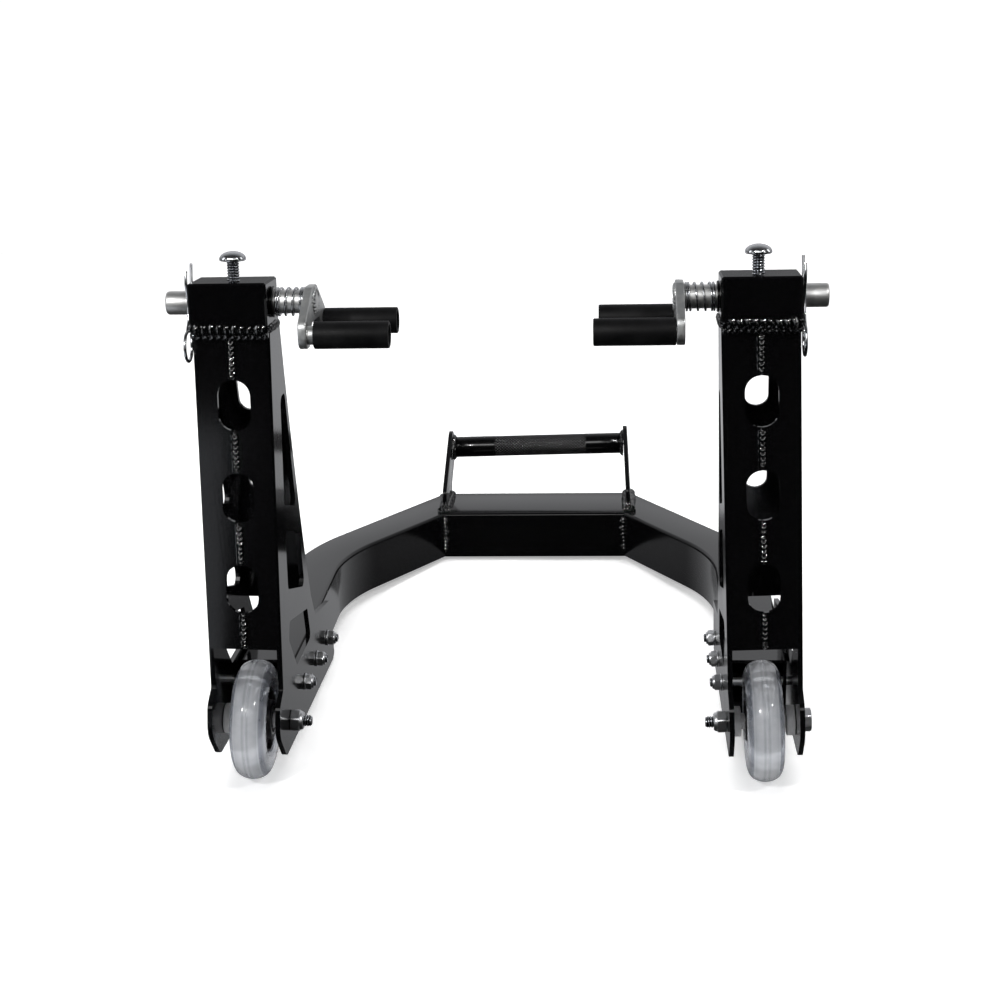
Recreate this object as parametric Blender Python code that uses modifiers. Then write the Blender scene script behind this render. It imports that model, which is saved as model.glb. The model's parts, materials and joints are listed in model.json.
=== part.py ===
"""Motorcycle paddock stand: a U-shaped tube frame with two wheeled pressed-steel uprights, each
carrying a spring-loaded fork with rubber-sleeved prongs, and a lifting handle at the rear.

Frame of the part: metres, +Z up, +Y towards the handle, +X to the right when looking along +Y.
The origin is on the floor under the centre of the stand's bounding box.

Most pieces are laid out in the "stance" frame: its origin is the middle of the wheel axle line,
its Z runs up the uprights, and the whole frame leans back until the rear tube meets the floor.
"""

import math

import bmesh
import bpy
from mathutils import Matrix, Vector

MM = 0.001
GAP = 0.3            # clearance between faces that touch, mm

# ---- stance ----
WHEEL_R = 50.0
WHEEL_X = 210.4      # wheel centre plane from the middle, at axle height
SPLAY = math.radians(1.75)      # uprights spread towards the floor
STANCE_Y = -273.44   # puts the origin under the middle of the bounding box

# ---- U frame ----
ARM_RISE = math.radians(3.0)    # arm plane against the uprights' horizontal
REAR_Y, REAR_TOP = 484.5, 55.04  # front top edge of the rear tube
REAR_DEPTH, TUBE_H = 79.5, 50.0
REAR_HALF = 97.0     # half length of the rear tube along its front edge
ARM_W = 48.5
ARM_X = 209.9       # centre line of the straight leg
TUBE_WALL = 3.0
TUBE_CORNER = 5.0
DIAGONAL = math.radians(58.0)   # angle of the diagonal legs from X
BEND_R = 172.0 + ARM_W / 2      # centre line bend radius
ARM_FRONT = -427.5   # front end of the arm, along the arm from the rear tube's front face

# ---- uprights ----
SHEET = 4.0
UP_W = 59.5          # outside width of an upright
UP_TOP = 337.0
FRONT_Y, FRONT_LEAN = -60.5, 0.09   # front face at z = 330 and its lean
FLANGE_END = 73.3    # lower end of the front flange
REAR_END = 260.6     # length down the rear flange, measured from the top
SLOTS = (276.4, 201.5, 124.9)
SLOT_W, SLOT_H = 25.5, 40.5
REAR_SLOT_W, REAR_SLOT_RISE = 18.5, 5.0
FRAME_BOLTS = (67.6, 130.3, 190.7)
FRAME_BOLT_Z = 10.4
AXLE_R = 5.0
FRAME_BOLT_R = 4.0

# ---- head, pin and fork ----
BLOCK_X, BLOCK_W = 198.5, 57.2
BLOCK_OUT = 3.0   # how much further the block reaches on its outer side than on its inner side
BLOCK_DEPTH, BLOCK_H = 46.0, 35.0
PIN_Y, PIN_Z = -47.4, 355.3
PIN_R = 9.0
PIN_OUT, PIN_IN = 250.9, 135.1
PLATE_OUT, PLATE_T = 142.9, 6.3
PRONG_Y, PRONG_Z = 38.5, -20.5
PRONG_R, PRONG_END = 7.0, 82.0
SLEEVE_R, SLEEVE_BORE = 10.25, 7.3
SLEEVE_IN = {"front": 75.5, "rear": 78.5}
WASHER_T = 2.0
SPRING_R, SPRING_WIRE = 10.55, 0.85
CLIP_X, CLIP_WIRE = 232.2, 1.0
CLIP_LEAN = math.radians(11.0)
SCREW_R, SCREW_HEAD_R = 5.0, 10.25
SCREW_HEAD_Z = 387.0
SCREW_TIP_Z = 364.8

# ---- handle ----
BAR_Y, BAR_Z, BAR_R = 580.0, 108.4, 11.4
BRACKET_T = 4.5
# each bracket: inner face at the bar's height, lean outwards towards its foot, and how far its top is raised
BRACKETS = {"r": (96.9, 0.06, 3.6), "l": (94.2, 0.02, 0.0)}

AXES_YZ_X = Matrix(((0, 0, 1, 0), (1, 0, 0, 0), (0, 1, 0, 0), (0, 0, 0, 1)))   # (u, v, w) -> (w, u, v)


# --------------------------------------------------------------------------- scene helpers
def clear():
    for obj in list(bpy.data.objects):
        bpy.data.objects.remove(obj, do_unlink=True)


def collection(name):
    made = bpy.data.collections.new(name)
    bpy.context.scene.collection.children.link(made)
    return made


def material(name, colour, rough, metal=0.0, alpha=1.0):
    made = bpy.data.materials.new(name)
    made.use_nodes = True
    shader = made.node_tree.nodes["Principled BSDF"]
    shader.inputs["Base Color"].default_value = (*colour, 1.0)
    shader.inputs["Roughness"].default_value = rough
    shader.inputs["Metallic"].default_value = metal
    shader.inputs["Alpha"].default_value = alpha
    return made


def empty(name, parent, at=(0, 0, 0), turn=(0, 0, 0)):
    obj = bpy.data.objects.new(name, None)
    PARTS.objects.link(obj)
    obj.parent = parent
    obj.location = [c * MM for c in at]
    obj.rotation_euler = turn
    return obj


def evaluated_mesh(obj):
    """The object's evaluated mesh with its caps welded; the object itself is removed."""
    PARTS.objects.link(obj)
    bpy.context.view_layer.update()
    graph = bpy.context.evaluated_depsgraph_get()
    mesh = bpy.data.meshes.new_from_object(obj.evaluated_get(graph))
    bpy.data.objects.remove(obj, do_unlink=True)
    bm = bmesh.new()
    bm.from_mesh(mesh)
    bmesh.ops.remove_doubles(bm, verts=bm.verts, dist=1e-6)
    bm.to_mesh(mesh)
    bm.free()
    return mesh


def place(name, mesh, parent, side, look, cutter=False):
    """Adds the mesh as an object. side -1 mirrors it in X for the left-hand piece."""
    mesh = mesh.copy()
    if side < 0:
        mesh.transform(Matrix.Scale(-1, 4, (1, 0, 0)))
        mesh.flip_normals()
    obj = bpy.data.objects.new(name, mesh)
    (CUTTERS if cutter else PARTS).objects.link(obj)
    obj.parent = parent
    if cutter:
        obj.hide_render = True
        obj.display_type = "WIRE"
    else:
        mesh.materials.clear()
        mesh.materials.append(look)
        mesh.shade_smooth()
        mesh.set_sharp_from_angle(angle=math.radians(32))
    return obj


def boolean(obj, cutter, operation="DIFFERENCE"):
    modifier = obj.modifiers.new(operation.lower(), "BOOLEAN")
    modifier.operation = operation
    modifier.object = cutter
    modifier.solver = "EXACT"


# --------------------------------------------------------------------------- shape helpers
def filleted(corners, steps=4):
    """A closed outline from corners (u, v) or (u, v, radius), with each radius turned into an arc."""
    out = []
    n = len(corners)
    for i, corner in enumerate(corners):
        here = Vector(corner[:2])
        radius = corner[2] if len(corner) > 2 else 0
        if not radius:
            out.append(here)
            continue
        before = (Vector(corners[i - 1][:2]) - here)
        after = (Vector(corners[(i + 1) % n][:2]) - here)
        half = before.angle(after) / 2
        reach = min(radius / math.tan(half), 0.48 * before.length, 0.48 * after.length)
        radius = reach * math.tan(half)
        centre = here + (before.normalized() + after.normalized()).normalized() * (radius / math.sin(half))
        start = here + before.normalized() * reach - centre
        end = here + after.normalized() * reach - centre
        turn = start.angle_signed(end)
        for k in range(steps + 1):
            a = -turn * k / steps
            out.append(centre + Vector((start.x * math.cos(a) - start.y * math.sin(a),
                                        start.x * math.sin(a) + start.y * math.cos(a))))
    return out


def circle(u, v, r, n, phase=0.0):
    return [Vector((u + r * math.cos(phase + 2 * math.pi * k / n),
                    v + r * math.sin(phase + 2 * math.pi * k / n))) for k in range(n)]


def flat(outlines, x0, x1):
    """A plate: outlines in (y, z), the first outside and the rest holes, from x0 to x1."""
    curve = bpy.data.curves.new("outline", "CURVE")
    curve.dimensions = "2D"
    curve.fill_mode = "BOTH"
    curve.extrude = abs(x1 - x0) / 2 * MM
    for outline in outlines:
        spline = curve.splines.new("POLY")
        spline.points.add(len(outline) - 1)
        for point, at in zip(spline.points, outline):
            point.co = (at[0] * MM, at[1] * MM, 0, 1)
        spline.use_cyclic_u = True
    mesh = evaluated_mesh(bpy.data.objects.new("outline", curve))
    mesh.transform(Matrix.Translation(((x0 + x1) / 2 * MM, 0, 0)) @ AXES_YZ_X)
    return mesh


def turned(profile, steps, y=0.0, z=0.0):
    """A solid of revolution about X. profile runs from high x to low x down its outer side, as (x, r)."""
    mesh = bpy.data.meshes.new("profile")
    bm = bmesh.new()
    made = [bm.verts.new((r * MM, 0, x * MM)) for x, r in profile]
    closed = profile[0][1] > 0
    for a, b in zip(made, made[1:] + made[:1] if closed else made[1:]):
        bm.edges.new((a, b))
    bm.to_mesh(mesh)
    bm.free()
    obj = bpy.data.objects.new("profile", mesh)
    screw = obj.modifiers.new("screw", "SCREW")
    screw.steps = screw.render_steps = steps
    screw.use_merge_vertices = True
    screw.merge_threshold = 1e-6
    screw.use_normal_calculate = False
    mesh = evaluated_mesh(obj)
    mesh.transform(Matrix.Translation((0, y * MM, z * MM)) @ AXES_YZ_X)
    return mesh


def box(x0, x1, y0, y1, z0, z1):
    bm = bmesh.new()
    bmesh.ops.create_cube(bm, size=1.0)
    bmesh.ops.scale(bm, vec=((x1 - x0) * MM, (y1 - y0) * MM, (z1 - z0) * MM), verts=bm.verts)
    bmesh.ops.translate(bm, vec=((x0 + x1) / 2 * MM, (y0 + y1) / 2 * MM, (z0 + z1) / 2 * MM), verts=bm.verts)
    mesh = bpy.data.meshes.new("box")
    bm.to_mesh(mesh)
    bm.free()
    return mesh


def rod(x0, x1, r, n, y=0.0, z=0.0, chamfer=0.0):
    if chamfer:
        return turned([(x1, 0), (x1, r - chamfer), (x1 - chamfer, r), (x0 + chamfer, r), (x0, r - chamfer), (x0, 0)], n, y, z)
    return turned([(x1, 0), (x1, r), (x0, r), (x0, 0)], n, y, z)


def wire(points, radius, sides=6):
    """A bent wire through the points, with closed ends."""
    curve = bpy.data.curves.new("wire", "CURVE")
    curve.dimensions = "3D"
    curve.bevel_depth = radius * MM
    curve.bevel_resolution = (sides - 4) // 2
    curve.use_fill_caps = True
    spline = curve.splines.new("POLY")
    spline.points.add(len(points) - 1)
    for point, at in zip(spline.points, points):
        point.co = (at[0] * MM, at[1] * MM, at[2] * MM, 1)
    return evaluated_mesh(bpy.data.objects.new("wire", curve))


def tube(path, width, height):
    """A rectangular tube with rounded corners along a level path, open at both ends, top at z = 0."""
    corners = filleted([(-width / 2, -height / 2, TUBE_CORNER), (width / 2, -height / 2, TUBE_CORNER),
                        (width / 2, height / 2, TUBE_CORNER), (-width / 2, height / 2, TUBE_CORNER)], 2)
    section = bpy.data.curves.new("section", "CURVE")
    section.dimensions = "2D"
    spline = section.splines.new("POLY")
    spline.points.add(len(corners) - 1)
    for point, at in zip(spline.points, corners):
        point.co = (at[0] * MM, at[1] * MM, 0, 1)
    spline.use_cyclic_u = True
    guide = bpy.data.objects.new("section", section)
    CUTTERS.objects.link(guide)
    guide.hide_render = True
    curve = bpy.data.curves.new("path", "CURVE")
    curve.dimensions = "3D"
    curve.twist_mode = "Z_UP"
    curve.bevel_mode = "OBJECT"
    curve.bevel_object = guide
    spline = curve.splines.new("POLY")
    spline.points.add(len(path) - 1)
    for point, at in zip(spline.points, path):
        point.co = (at[0] * MM, at[1] * MM, -height / 2 * MM, 1)
    mesh = evaluated_mesh(bpy.data.objects.new("path", curve))
    bpy.data.objects.remove(guide, do_unlink=True)
    bm = bmesh.new()
    bm.from_mesh(mesh)
    bmesh.ops.recalc_face_normals(bm, faces=bm.faces)
    centre = Vector((path[0][0] * MM, path[0][1] * MM, -height / 2 * MM))
    near = min(bm.faces, key=lambda f: (f.calc_center_median() - centre).length)
    if near.normal.dot(near.calc_center_median() - centre) < 0:
        bmesh.ops.reverse_faces(bm, faces=bm.faces)
    bm.to_mesh(mesh)
    bm.free()
    shell = bpy.data.objects.new("shell", mesh)
    solidify = shell.modifiers.new("wall", "SOLIDIFY")
    solidify.thickness = TUBE_WALL * MM
    solidify.offset = -1.0
    solidify.use_even_offset = True
    return evaluated_mesh(shell)


# --------------------------------------------------------------------------- outlines
def front_y(z):
    return FRONT_Y + FRONT_LEAN * (330.0 - z)


def rear_point(t, inset=0.0):
    """A point of the swept rear edge, t mm below the top, moved inwards by inset."""
    y, z = -18.5 + 0.40 * t + 0.0003 * t * t, UP_TOP - t
    lean = 0.40 + 0.0006 * t
    length = math.hypot(1, lean)
    return Vector((y - inset / length, z - inset * lean / length))


REAR_STEPS = 6
REAR_TS = [REAR_END * k / REAR_STEPS for k in range(REAR_STEPS + 1)]

SIDE_OUTLINE = filleted(
    [(front_y(UP_TOP), UP_TOP), (front_y(FLANGE_END), FLANGE_END), (-32.5, 38, 3), (-48, 28, 9), (-50.5, 4, 20),
     (-22, -23.5, 15), (226, -22, 0), (233, -18, 4), (207, 42, 5), (126, 53, 6)], 4
) + [rear_point(t) for t in reversed(REAR_TS)]

CUTOUTS = [
    filleted([(-3, 278, 7), (-22, 278, 7), (-13, 188, 5), (40, 174.5, 5)], 4),
    filleted([(-11, 166, 6), (-3, 114.5, 6), (75, 94.5, 6), (53, 149, 6)], 4),
    filleted([(86, 71, 4), (1, 86, 5), (-3, 70.5, 5), (32, 37.5, 5), (102, 40, 5)], 4),
]

CAVITY = (
    [Vector((front_y(350) + SHEET, 350)), Vector((front_y(FLANGE_END) + SHEET, FLANGE_END)),
     Vector((-90, FLANGE_END)), Vector((-90, -60)), Vector((260, -60)), Vector((260, 60)),
     rear_point(REAR_END - 1.5, -20), rear_point(REAR_END - 1.5, SHEET)]
    + [rear_point(t, SHEET) for t in reversed(REAR_TS[:-1])]
    + [Vector((rear_point(-13, SHEET).x, 350))]
)

HUB_PROFILE = [(15.0, 13.3), (15.0, 16.5), (5.0, 17.5), (5.0, 23.8), (13.5, 25.0), (13.5, 27.0), (-13.5, 27.0), (-13.5, 25.0),
               (-5.0, 23.8), (-5.0, 17.5), (-15.0, 16.5), (-15.0, 13.3), (-6.7, 13.3), (-6.7, 9.0), (6.7, 9.0), (6.7, 13.3)]

FORK_OUTLINE = filleted(
    [(-10, 12, 4), (-47.5, -11, 8), (-48.5, -30.5, 9.5), (-28.5, -30.5, 9), (-19, -14, 10),
     (19, -14, 10), (28.5, -30.5, 9), (48.5, -30.5, 9.5), (47.5, -11, 8), (10, 12, 4)], 3)

BRACKET_OUTLINE = filleted(
    [(494, REAR_TOP + 0.8), (494, 77, 8), (574, 129.5, 16), (600, 118, 14), (598, 94, 12),
     (563, 72, 14), (560, REAR_TOP + 4.25)], 4)


# --------------------------------------------------------------------------- pieces
def upright_half(outer):
    """One pressed half of an upright, in the upright's own frame: a side plate with a front and a rear flange."""
    edge, near = (UP_W / 2, GAP / 2) if outer else (-UP_W / 2, -GAP / 2)
    mesh = flat([SIDE_OUTLINE], min(edge, near), max(edge, near))
    bm = bmesh.new()
    bm.from_mesh(mesh)
    bmesh.ops.dissolve_limit(bm, angle_limit=math.radians(0.5), verts=bm.verts, edges=bm.edges)
    bm.normal_update()

    def on_bend(v):
        y, z = v.co.y / MM, v.co.z / MM
        if abs(v.co.x - edge * MM) > 1e-6 or z < FLANGE_END - 0.1:
            return False
        if abs(y - front_y(z)) < 0.05:
            return True
        return any((Vector((y, z)) - rear_point(t)).length < 0.05 for t in REAR_TS)

    bend = [e for e in bm.edges if all(on_bend(v) for v in e.verts)
            and abs(e.verts[0].co.z - e.verts[1].co.z) > 0.005 and not all(abs(v.co.z - UP_TOP * MM) < 1e-5 for v in e.verts)
            and len(e.link_faces) == 2 and e.calc_face_angle(0) > 1.0]
    bmesh.ops.bevel(bm, geom=bend, offset=5.5 * MM, segments=2, affect="EDGES", clamp_overlap=True)
    for v in bm.verts:
        if v.co.z > (UP_TOP - 4) * MM:
            v.co.z = (UP_TOP * MM - v.co.x * math.sin(SPLAY)) / math.cos(SPLAY)
    bm.to_mesh(mesh)
    bm.free()
    return mesh


def arm_path():
    """Centre line of one arm in the arm plane, as (x, y) with y from the rear tube's front face."""
    along = Vector((math.cos(DIAGONAL), -math.sin(DIAGONAL)))
    across = Vector((math.sin(DIAGONAL), math.cos(DIAGONAL)))
    seam_middle = Vector((REAR_HALF, 0)) + across * (ARM_W / 2)
    corner = seam_middle + along * ((ARM_X - seam_middle.x) / along.x)
    turn = math.pi / 2 - DIAGONAL
    reach = BEND_R * math.tan(turn / 2)
    centre = Vector((ARM_X - BEND_R, corner.y - reach))
    arc = [centre + BEND_R * Vector((math.cos(turn * k / 7), math.sin(turn * k / 7))) for k in range(8)]
    return [Vector((ARM_X, ARM_FRONT)), *arc, seam_middle - along * 90]


def seam_line():
    """Front and back ends of the seam between the diagonal leg and the rear tube."""
    along = Vector((math.cos(DIAGONAL), -math.sin(DIAGONAL)))
    outer = Vector((REAR_HALF, 0)) + Vector((math.sin(DIAGONAL), math.cos(DIAGONAL))) * ARM_W
    t = (outer.y - REAR_DEPTH) / -along.y
    return Vector((REAR_HALF, 0)), Vector((outer.x + along.x * t, REAR_DEPTH))


def seam_cutter(keep_arm):
    """A block whose one face lies on the seam, moved off it by half the gap."""
    a, b = seam_line()
    run = (b - a).normalized()
    off = Vector((run.y, -run.x))
    half = off * (GAP / 2 if keep_arm else -GAP / 2)
    far = -off * 260 if keep_arm else off * 120
    p, q = a - run * 120 + half, b + run * 120 + half
    mesh = flat_level([p, q, q + far, p + far], -TUBE_H - 20, 20)
    return mesh


def flat_level(outline, z0, z1):
    """A prism with a level outline in (x, y)."""
    curve = bpy.data.curves.new("outline", "CURVE")
    curve.dimensions = "2D"
    curve.fill_mode = "BOTH"
    curve.extrude = (z1 - z0) / 2 * MM
    spline = curve.splines.new("POLY")
    spline.points.add(len(outline) - 1)
    for point, at in zip(spline.points, outline):
        point.co = (at[0] * MM, at[1] * MM, 0, 1)
    spline.use_cyclic_u = True
    mesh = evaluated_mesh(bpy.data.objects.new("outline", curve))
    mesh.transform(Matrix.Translation((0, 0, (z0 + z1) / 2 * MM)))
    return mesh


def clip_points():
    """Centre line of the R-clip, about the pin: a straight leg, an eye of most of a turn and a bowed leg."""
    up = Vector((math.sin(CLIP_LEAN), math.cos(CLIP_LEAN)))
    points = [up * 30, up * 11, up * -11, up * -24]
    centre, r = Vector((-18.5, -31.0)), 11.3
    for k in range(11):
        a = math.radians(8 - 27.5 * k)
        points.append(centre + r * Vector((math.cos(a), math.sin(a))))
    points += [Vector(p) for p in ((-14.4, -14.0), (-12.0, -8.5), (-10.8, -4.0), (-10.6, 0.0), (-11.0, 4.5), (-12.6, 9.5), (-14.2, 15.0), (-14.2, 20.0), (-12.5, 25.5))]
    return [(CLIP_X, p.x, p.y) for p in points]


def spring_points():
    """Compression spring between the fork plate and the washer: closed coils at both ends, open ones between."""
    start = PLATE_OUT + GAP + SPRING_WIRE
    end = BLOCK_X - BLOCK_W / 2 - GAP - WASHER_T - GAP - SPRING_WIRE
    closed, per_turn = 2 * SPRING_WIRE + GAP + 0.05, 12
    turns = 5.0
    total = int(turns * per_turn)
    rest = (end - start - 2 * closed) / (turns - 2)
    points = []
    for k in range(total + 1):
        t = k / per_turn
        x = start + closed * min(t, 1) + rest * min(max(t - 1, 0), turns - 2) + closed * max(t - turns + 1, 0)
        a = 2 * math.pi * t
        points.append((x, SPRING_R * math.cos(a), SPRING_R * math.sin(a)))
    return points


def build_side(side, tag, stance, arm_plane):
    upright = empty("upright_frame_" + tag, stance, (side * WHEEL_X, 0, 0), (0, -side * SPLAY, 0))
    wheel = empty("wheel_axis_" + tag, upright)
    pin = empty("pin_axis_" + tag, stance, (0, PIN_Y, PIN_Z))

    # upright halves, with the slots cut through both flanges
    cavities = {True: flat([CAVITY], -2, UP_W / 2 - SHEET), False: flat([CAVITY], -(UP_W / 2 - SHEET), 2)}
    slots = []
    for n, z in enumerate(SLOTS, 1):
        for flange, width, rise, y0, y1 in (("front", SLOT_W, 0.0, -130, -30), ("rear", REAR_SLOT_W, REAR_SLOT_RISE, -29, 118)):
            outline = filleted([(-width / 2, -SLOT_H / 2, width / 2.05), (width / 2, -SLOT_H / 2, width / 2.05),
                                (width / 2, SLOT_H / 2, width / 2.05), (-width / 2, SLOT_H / 2, width / 2.05)], 6)
            mesh = flat_level(outline, -y1, -y0)
            mesh.transform(Matrix.Translation((0, 0, (z + rise) * MM)) @ Matrix.Rotation(math.radians(90), 4, "X"))
            slots.append(place(f"slot_{flange}_{n}_{tag}", mesh, upright, side, None, True))
    holes = CUTOUTS + [circle(0, 0, AXLE_R + GAP, 12)] + [circle(y, FRAME_BOLT_Z, FRAME_BOLT_R + GAP, 12) for y in FRAME_BOLTS]
    side_holes = place("side_holes_" + tag, flat(holes, -UP_W, UP_W), upright, side, None, True)
    for outer, name in ((True, "upright_outer_"), (False, "upright_inner_")):
        half = place(name + tag, upright_half(outer), upright, side, BLACK)
        boolean(half, place(name + tag + "_cavity", cavities[outer], upright, side, None, True))
        boolean(half, side_holes)
        for slot in slots:
            boolean(half, slot)

    # head block, with the cross bore for the pin and the tapped hole for the lock screw
    block_mesh = box(-BLOCK_W / 2, BLOCK_W / 2 + BLOCK_OUT, -BLOCK_DEPTH / 2, BLOCK_DEPTH / 2, 0, BLOCK_H)
    block = place("head_block_" + tag, block_mesh, empty("head_frame_" + tag, stance, (side * BLOCK_X, PIN_Y, UP_TOP + GAP)), side, BLACK)
    bevel = block.modifiers.new("edges", "BEVEL")
    bevel.width, bevel.segments, bevel.limit_method = 1.5 * MM, 1, "ANGLE"
    boolean(block, place("pin_bore_" + tag, rod(BLOCK_X - BLOCK_W, BLOCK_X + BLOCK_W, PIN_R + GAP, 24), pin, side, None, True))
    upwards = Matrix.Rotation(math.radians(-90), 4, "Y")
    bore = rod(8, 40, SCREW_R + GAP, 16)
    bore.transform(Matrix.Translation((BLOCK_X * MM, 0, 0)) @ upwards)
    boolean(block, place("screw_bore_" + tag, bore, pin, side, None, True))

    screw_axis = empty("lock_screw_axis_" + tag, stance, (side * BLOCK_X, PIN_Y, 0))
    head = [(SCREW_HEAD_Z + 7.2, 0), (SCREW_HEAD_Z + 6.9, 4.2), (SCREW_HEAD_Z + 5.6, 7.8), (SCREW_HEAD_Z + 3.4, 9.8), (SCREW_HEAD_Z + 1.2, SCREW_HEAD_R), (SCREW_HEAD_Z, 9.5)]
    screw = turned(head + [(SCREW_HEAD_Z, SCREW_R), (SCREW_TIP_Z + 1, SCREW_R), (SCREW_TIP_Z, SCREW_R - 1), (SCREW_TIP_Z, 0)], 20)
    screw.transform(upwards)
    place("lock_screw_" + tag, screw, screw_axis, side, ZINC)

    # pin, fork, sleeves, spring, washer and clip, about the pin's axis
    pin_body = place("slide_pin_" + tag, rod(PIN_IN, PIN_OUT, PIN_R, 24, chamfer=2.0), pin, side, ZINC)
    hole = rod(-14, 14, CLIP_WIRE + 0.45, 10)
    hole.transform(Matrix.Translation((CLIP_X * MM, 0, 0)) @ Matrix.Rotation(-CLIP_LEAN, 4, "X") @ upwards)
    boolean(pin_body, place("clip_hole_" + tag, hole, pin, side, None, True))

    plate = place("fork_" + tag, flat([FORK_OUTLINE, circle(0, 0, PIN_R + GAP, 24)], PLATE_OUT - PLATE_T, PLATE_OUT), pin, side, FORK)
    for end, y in (("front", -PRONG_Y), ("rear", PRONG_Y)):
        prong = rod(PRONG_END, PLATE_OUT - 2, PRONG_R, 16, y, PRONG_Z, 1.0)
        boolean(plate, place(f"prong_{end}_{tag}", prong, pin, side, None, True), "UNION")
        outlines = [circle(y, PRONG_Z, SLEEVE_R, 20), circle(y, PRONG_Z, SLEEVE_BORE, 16)]
        place(f"sleeve_{end}_{tag}", flat(outlines, SLEEVE_IN[end], PLATE_OUT - PLATE_T - GAP), pin, side, RUBBER)
    inner_face = BLOCK_X - BLOCK_W / 2
    place("spring_washer_" + tag, flat([circle(0, 0, 11.8, 20), circle(0, 0, PIN_R + GAP, 20)], inner_face - GAP - WASHER_T, inner_face - GAP), pin, side, BLACK)
    place("spring_" + tag, wire(spring_points(), SPRING_WIRE), pin, side, ZINC)
    place("r_clip_" + tag, wire(clip_points(), CLIP_WIRE), pin, side, ZINC)

    # wheel
    crown = [(15.0 * math.cos(math.radians(a)), 35.0 + 15.0 * math.sin(math.radians(a))) for a in range(0, 181, 20)]
    place("tyre_" + tag, turned([(14.0, 27.3), *crown, (-14.0, 27.3)], 32), wheel, side, TYRE)
    place("hub_" + tag, turned(HUB_PROFILE, 20), wheel, side, HUB)
    for name, x0, x1 in (("bearing_outer_", 7.0, 15.0), ("bearing_inner_", -15.0, -7.0)):
        place(name + tag, flat([circle(0, 0, 13.0, 18), circle(0, 0, AXLE_R + GAP, 12)], x0, x1), wheel, side, STEEL)
    place("bearing_sleeve_" + tag, flat([circle(0, 0, 7.5, 14), circle(0, 0, AXLE_R + GAP, 12)], -6.6, 6.6), upright, side, STEEL)
    bore = AXLE_R + GAP
    place("spacer_outer_" + tag, turned([(25.4, bore), (25.4, 12.5), (18.4, 12.5), (18.4, 6.6), (15.3, 6.6), (15.3, bore)], 18), upright, side, ZINC)
    place("spacer_inner_" + tag, turned([(-15.3, bore), (-15.3, 6.6), (-18.4, 6.6), (-18.4, 12.5), (-25.4, 12.5), (-25.4, bore)], 18), upright, side, ZINC)

    face = UP_W / 2 + GAP
    place("axle_bolt_" + tag, turned([(face + 8.8, 0), (face + 8.8, 7.5), (face + 8.2, 9.4), (face + 2.2, 9.8), (face + 2.0, 10.8), (face, 10.8), (face, AXLE_R), (-face - 16.2, AXLE_R), (-face - 17.2, AXLE_R - 1), (-face - 17.2, 0)], 18), upright, side, ZINC)
    place("axle_nut_" + tag, flat([circle(0, 0, 9.8, 6, 0.3), circle(0, 0, AXLE_R + GAP, 12)], -face - 10.5, -face), upright, side, ZINC)
    for n, y in enumerate(FRAME_BOLTS, 1):
        bolt = place(f"frame_bolt_{n}_{tag}", flat([circle(y, FRAME_BOLT_Z, 7.5, 6)], face, face + 5.3), upright, side, ZINC)
        shank = rod(-face - 10.0, face + 1.5, FRAME_BOLT_R, 12, y, FRAME_BOLT_Z, 0.8)
        boolean(bolt, place(f"shank_{n}_{tag}", shank, upright, side, None, True), "UNION")
        place(f"frame_nut_{n}_{tag}", flat([circle(y, FRAME_BOLT_Z, 7.5, 6), circle(y, FRAME_BOLT_Z, FRAME_BOLT_R + GAP, 12)], -face - 8.0, -face), upright, side, ZINC)

    # arm
    arm = place("arm_" + tag, tube(arm_path(), ARM_W, TUBE_H), arm_plane, side, BLACK)
    boolean(arm, place("arm_seam_" + tag, seam_cutter(True), arm_plane, side, None, True))
    for n, y in enumerate(FRAME_BOLTS, 1):
        boolean(arm, place(f"arm_hole_{n}_{tag}", rod(-40, 40, FRAME_BOLT_R + GAP, 12, y, FRAME_BOLT_Z), upright, side, None, True))

    inner, lean, rise = BRACKETS[tag]
    bracket = flat([BRACKET_OUTLINE], inner, inner + BRACKET_T)
    high, low = 109.6, 55.0
    bracket.transform(Matrix(((1, 0, -lean, lean * high * MM), (0, 1, 0, 0), (0, 0, 1 + rise / (high - low), -rise * low / (high - low) * MM), (0, 0, 0, 1))))
    place("handle_bracket_" + tag, bracket, stance, side, BLACK)


clear()
PARTS = collection("paddock_stand")
CUTTERS = collection("cutters")
BLACK = material("gloss_black_powder_coat", (0.012, 0.012, 0.013), 0.22)
ZINC = material("bright_zinc", (0.62, 0.63, 0.64), 0.28, 1.0)
FORK = material("blue_zinc", (0.50, 0.53, 0.57), 0.33, 1.0)
STEEL = material("bearing_steel", (0.55, 0.55, 0.56), 0.2, 1.0)
RUBBER = material("black_rubber", (0.018, 0.018, 0.018), 0.75)
TYRE = material("clear_polyurethane", (0.62, 0.64, 0.63), 0.12, 0.0, 0.6)
HUB = material("grey_nylon", (0.35, 0.36, 0.37), 0.45)

# lean of the whole stand: the rounded lower back corner of the rear tube touches the floor
corner_y = REAR_Y + (REAR_DEPTH - TUBE_CORNER) * math.cos(ARM_RISE) + (TUBE_H - TUBE_CORNER) * math.sin(ARM_RISE)
corner_z = REAR_TOP + (REAR_DEPTH - TUBE_CORNER) * math.sin(ARM_RISE) - (TUBE_H - TUBE_CORNER) * math.cos(ARM_RISE)
LEAN = math.asin((WHEEL_R - TUBE_CORNER) / math.hypot(corner_y, corner_z)) + math.atan2(corner_z, corner_y)

stance = empty("stance", None, (0, STANCE_Y, WHEEL_R), (-LEAN, 0, 0))
arm_plane = empty("arm_plane", stance, (0, REAR_Y, REAR_TOP), (ARM_RISE, 0, 0))

for side, tag in ((1, "r"), (-1, "l")):
    build_side(side, tag, stance, arm_plane)

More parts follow.
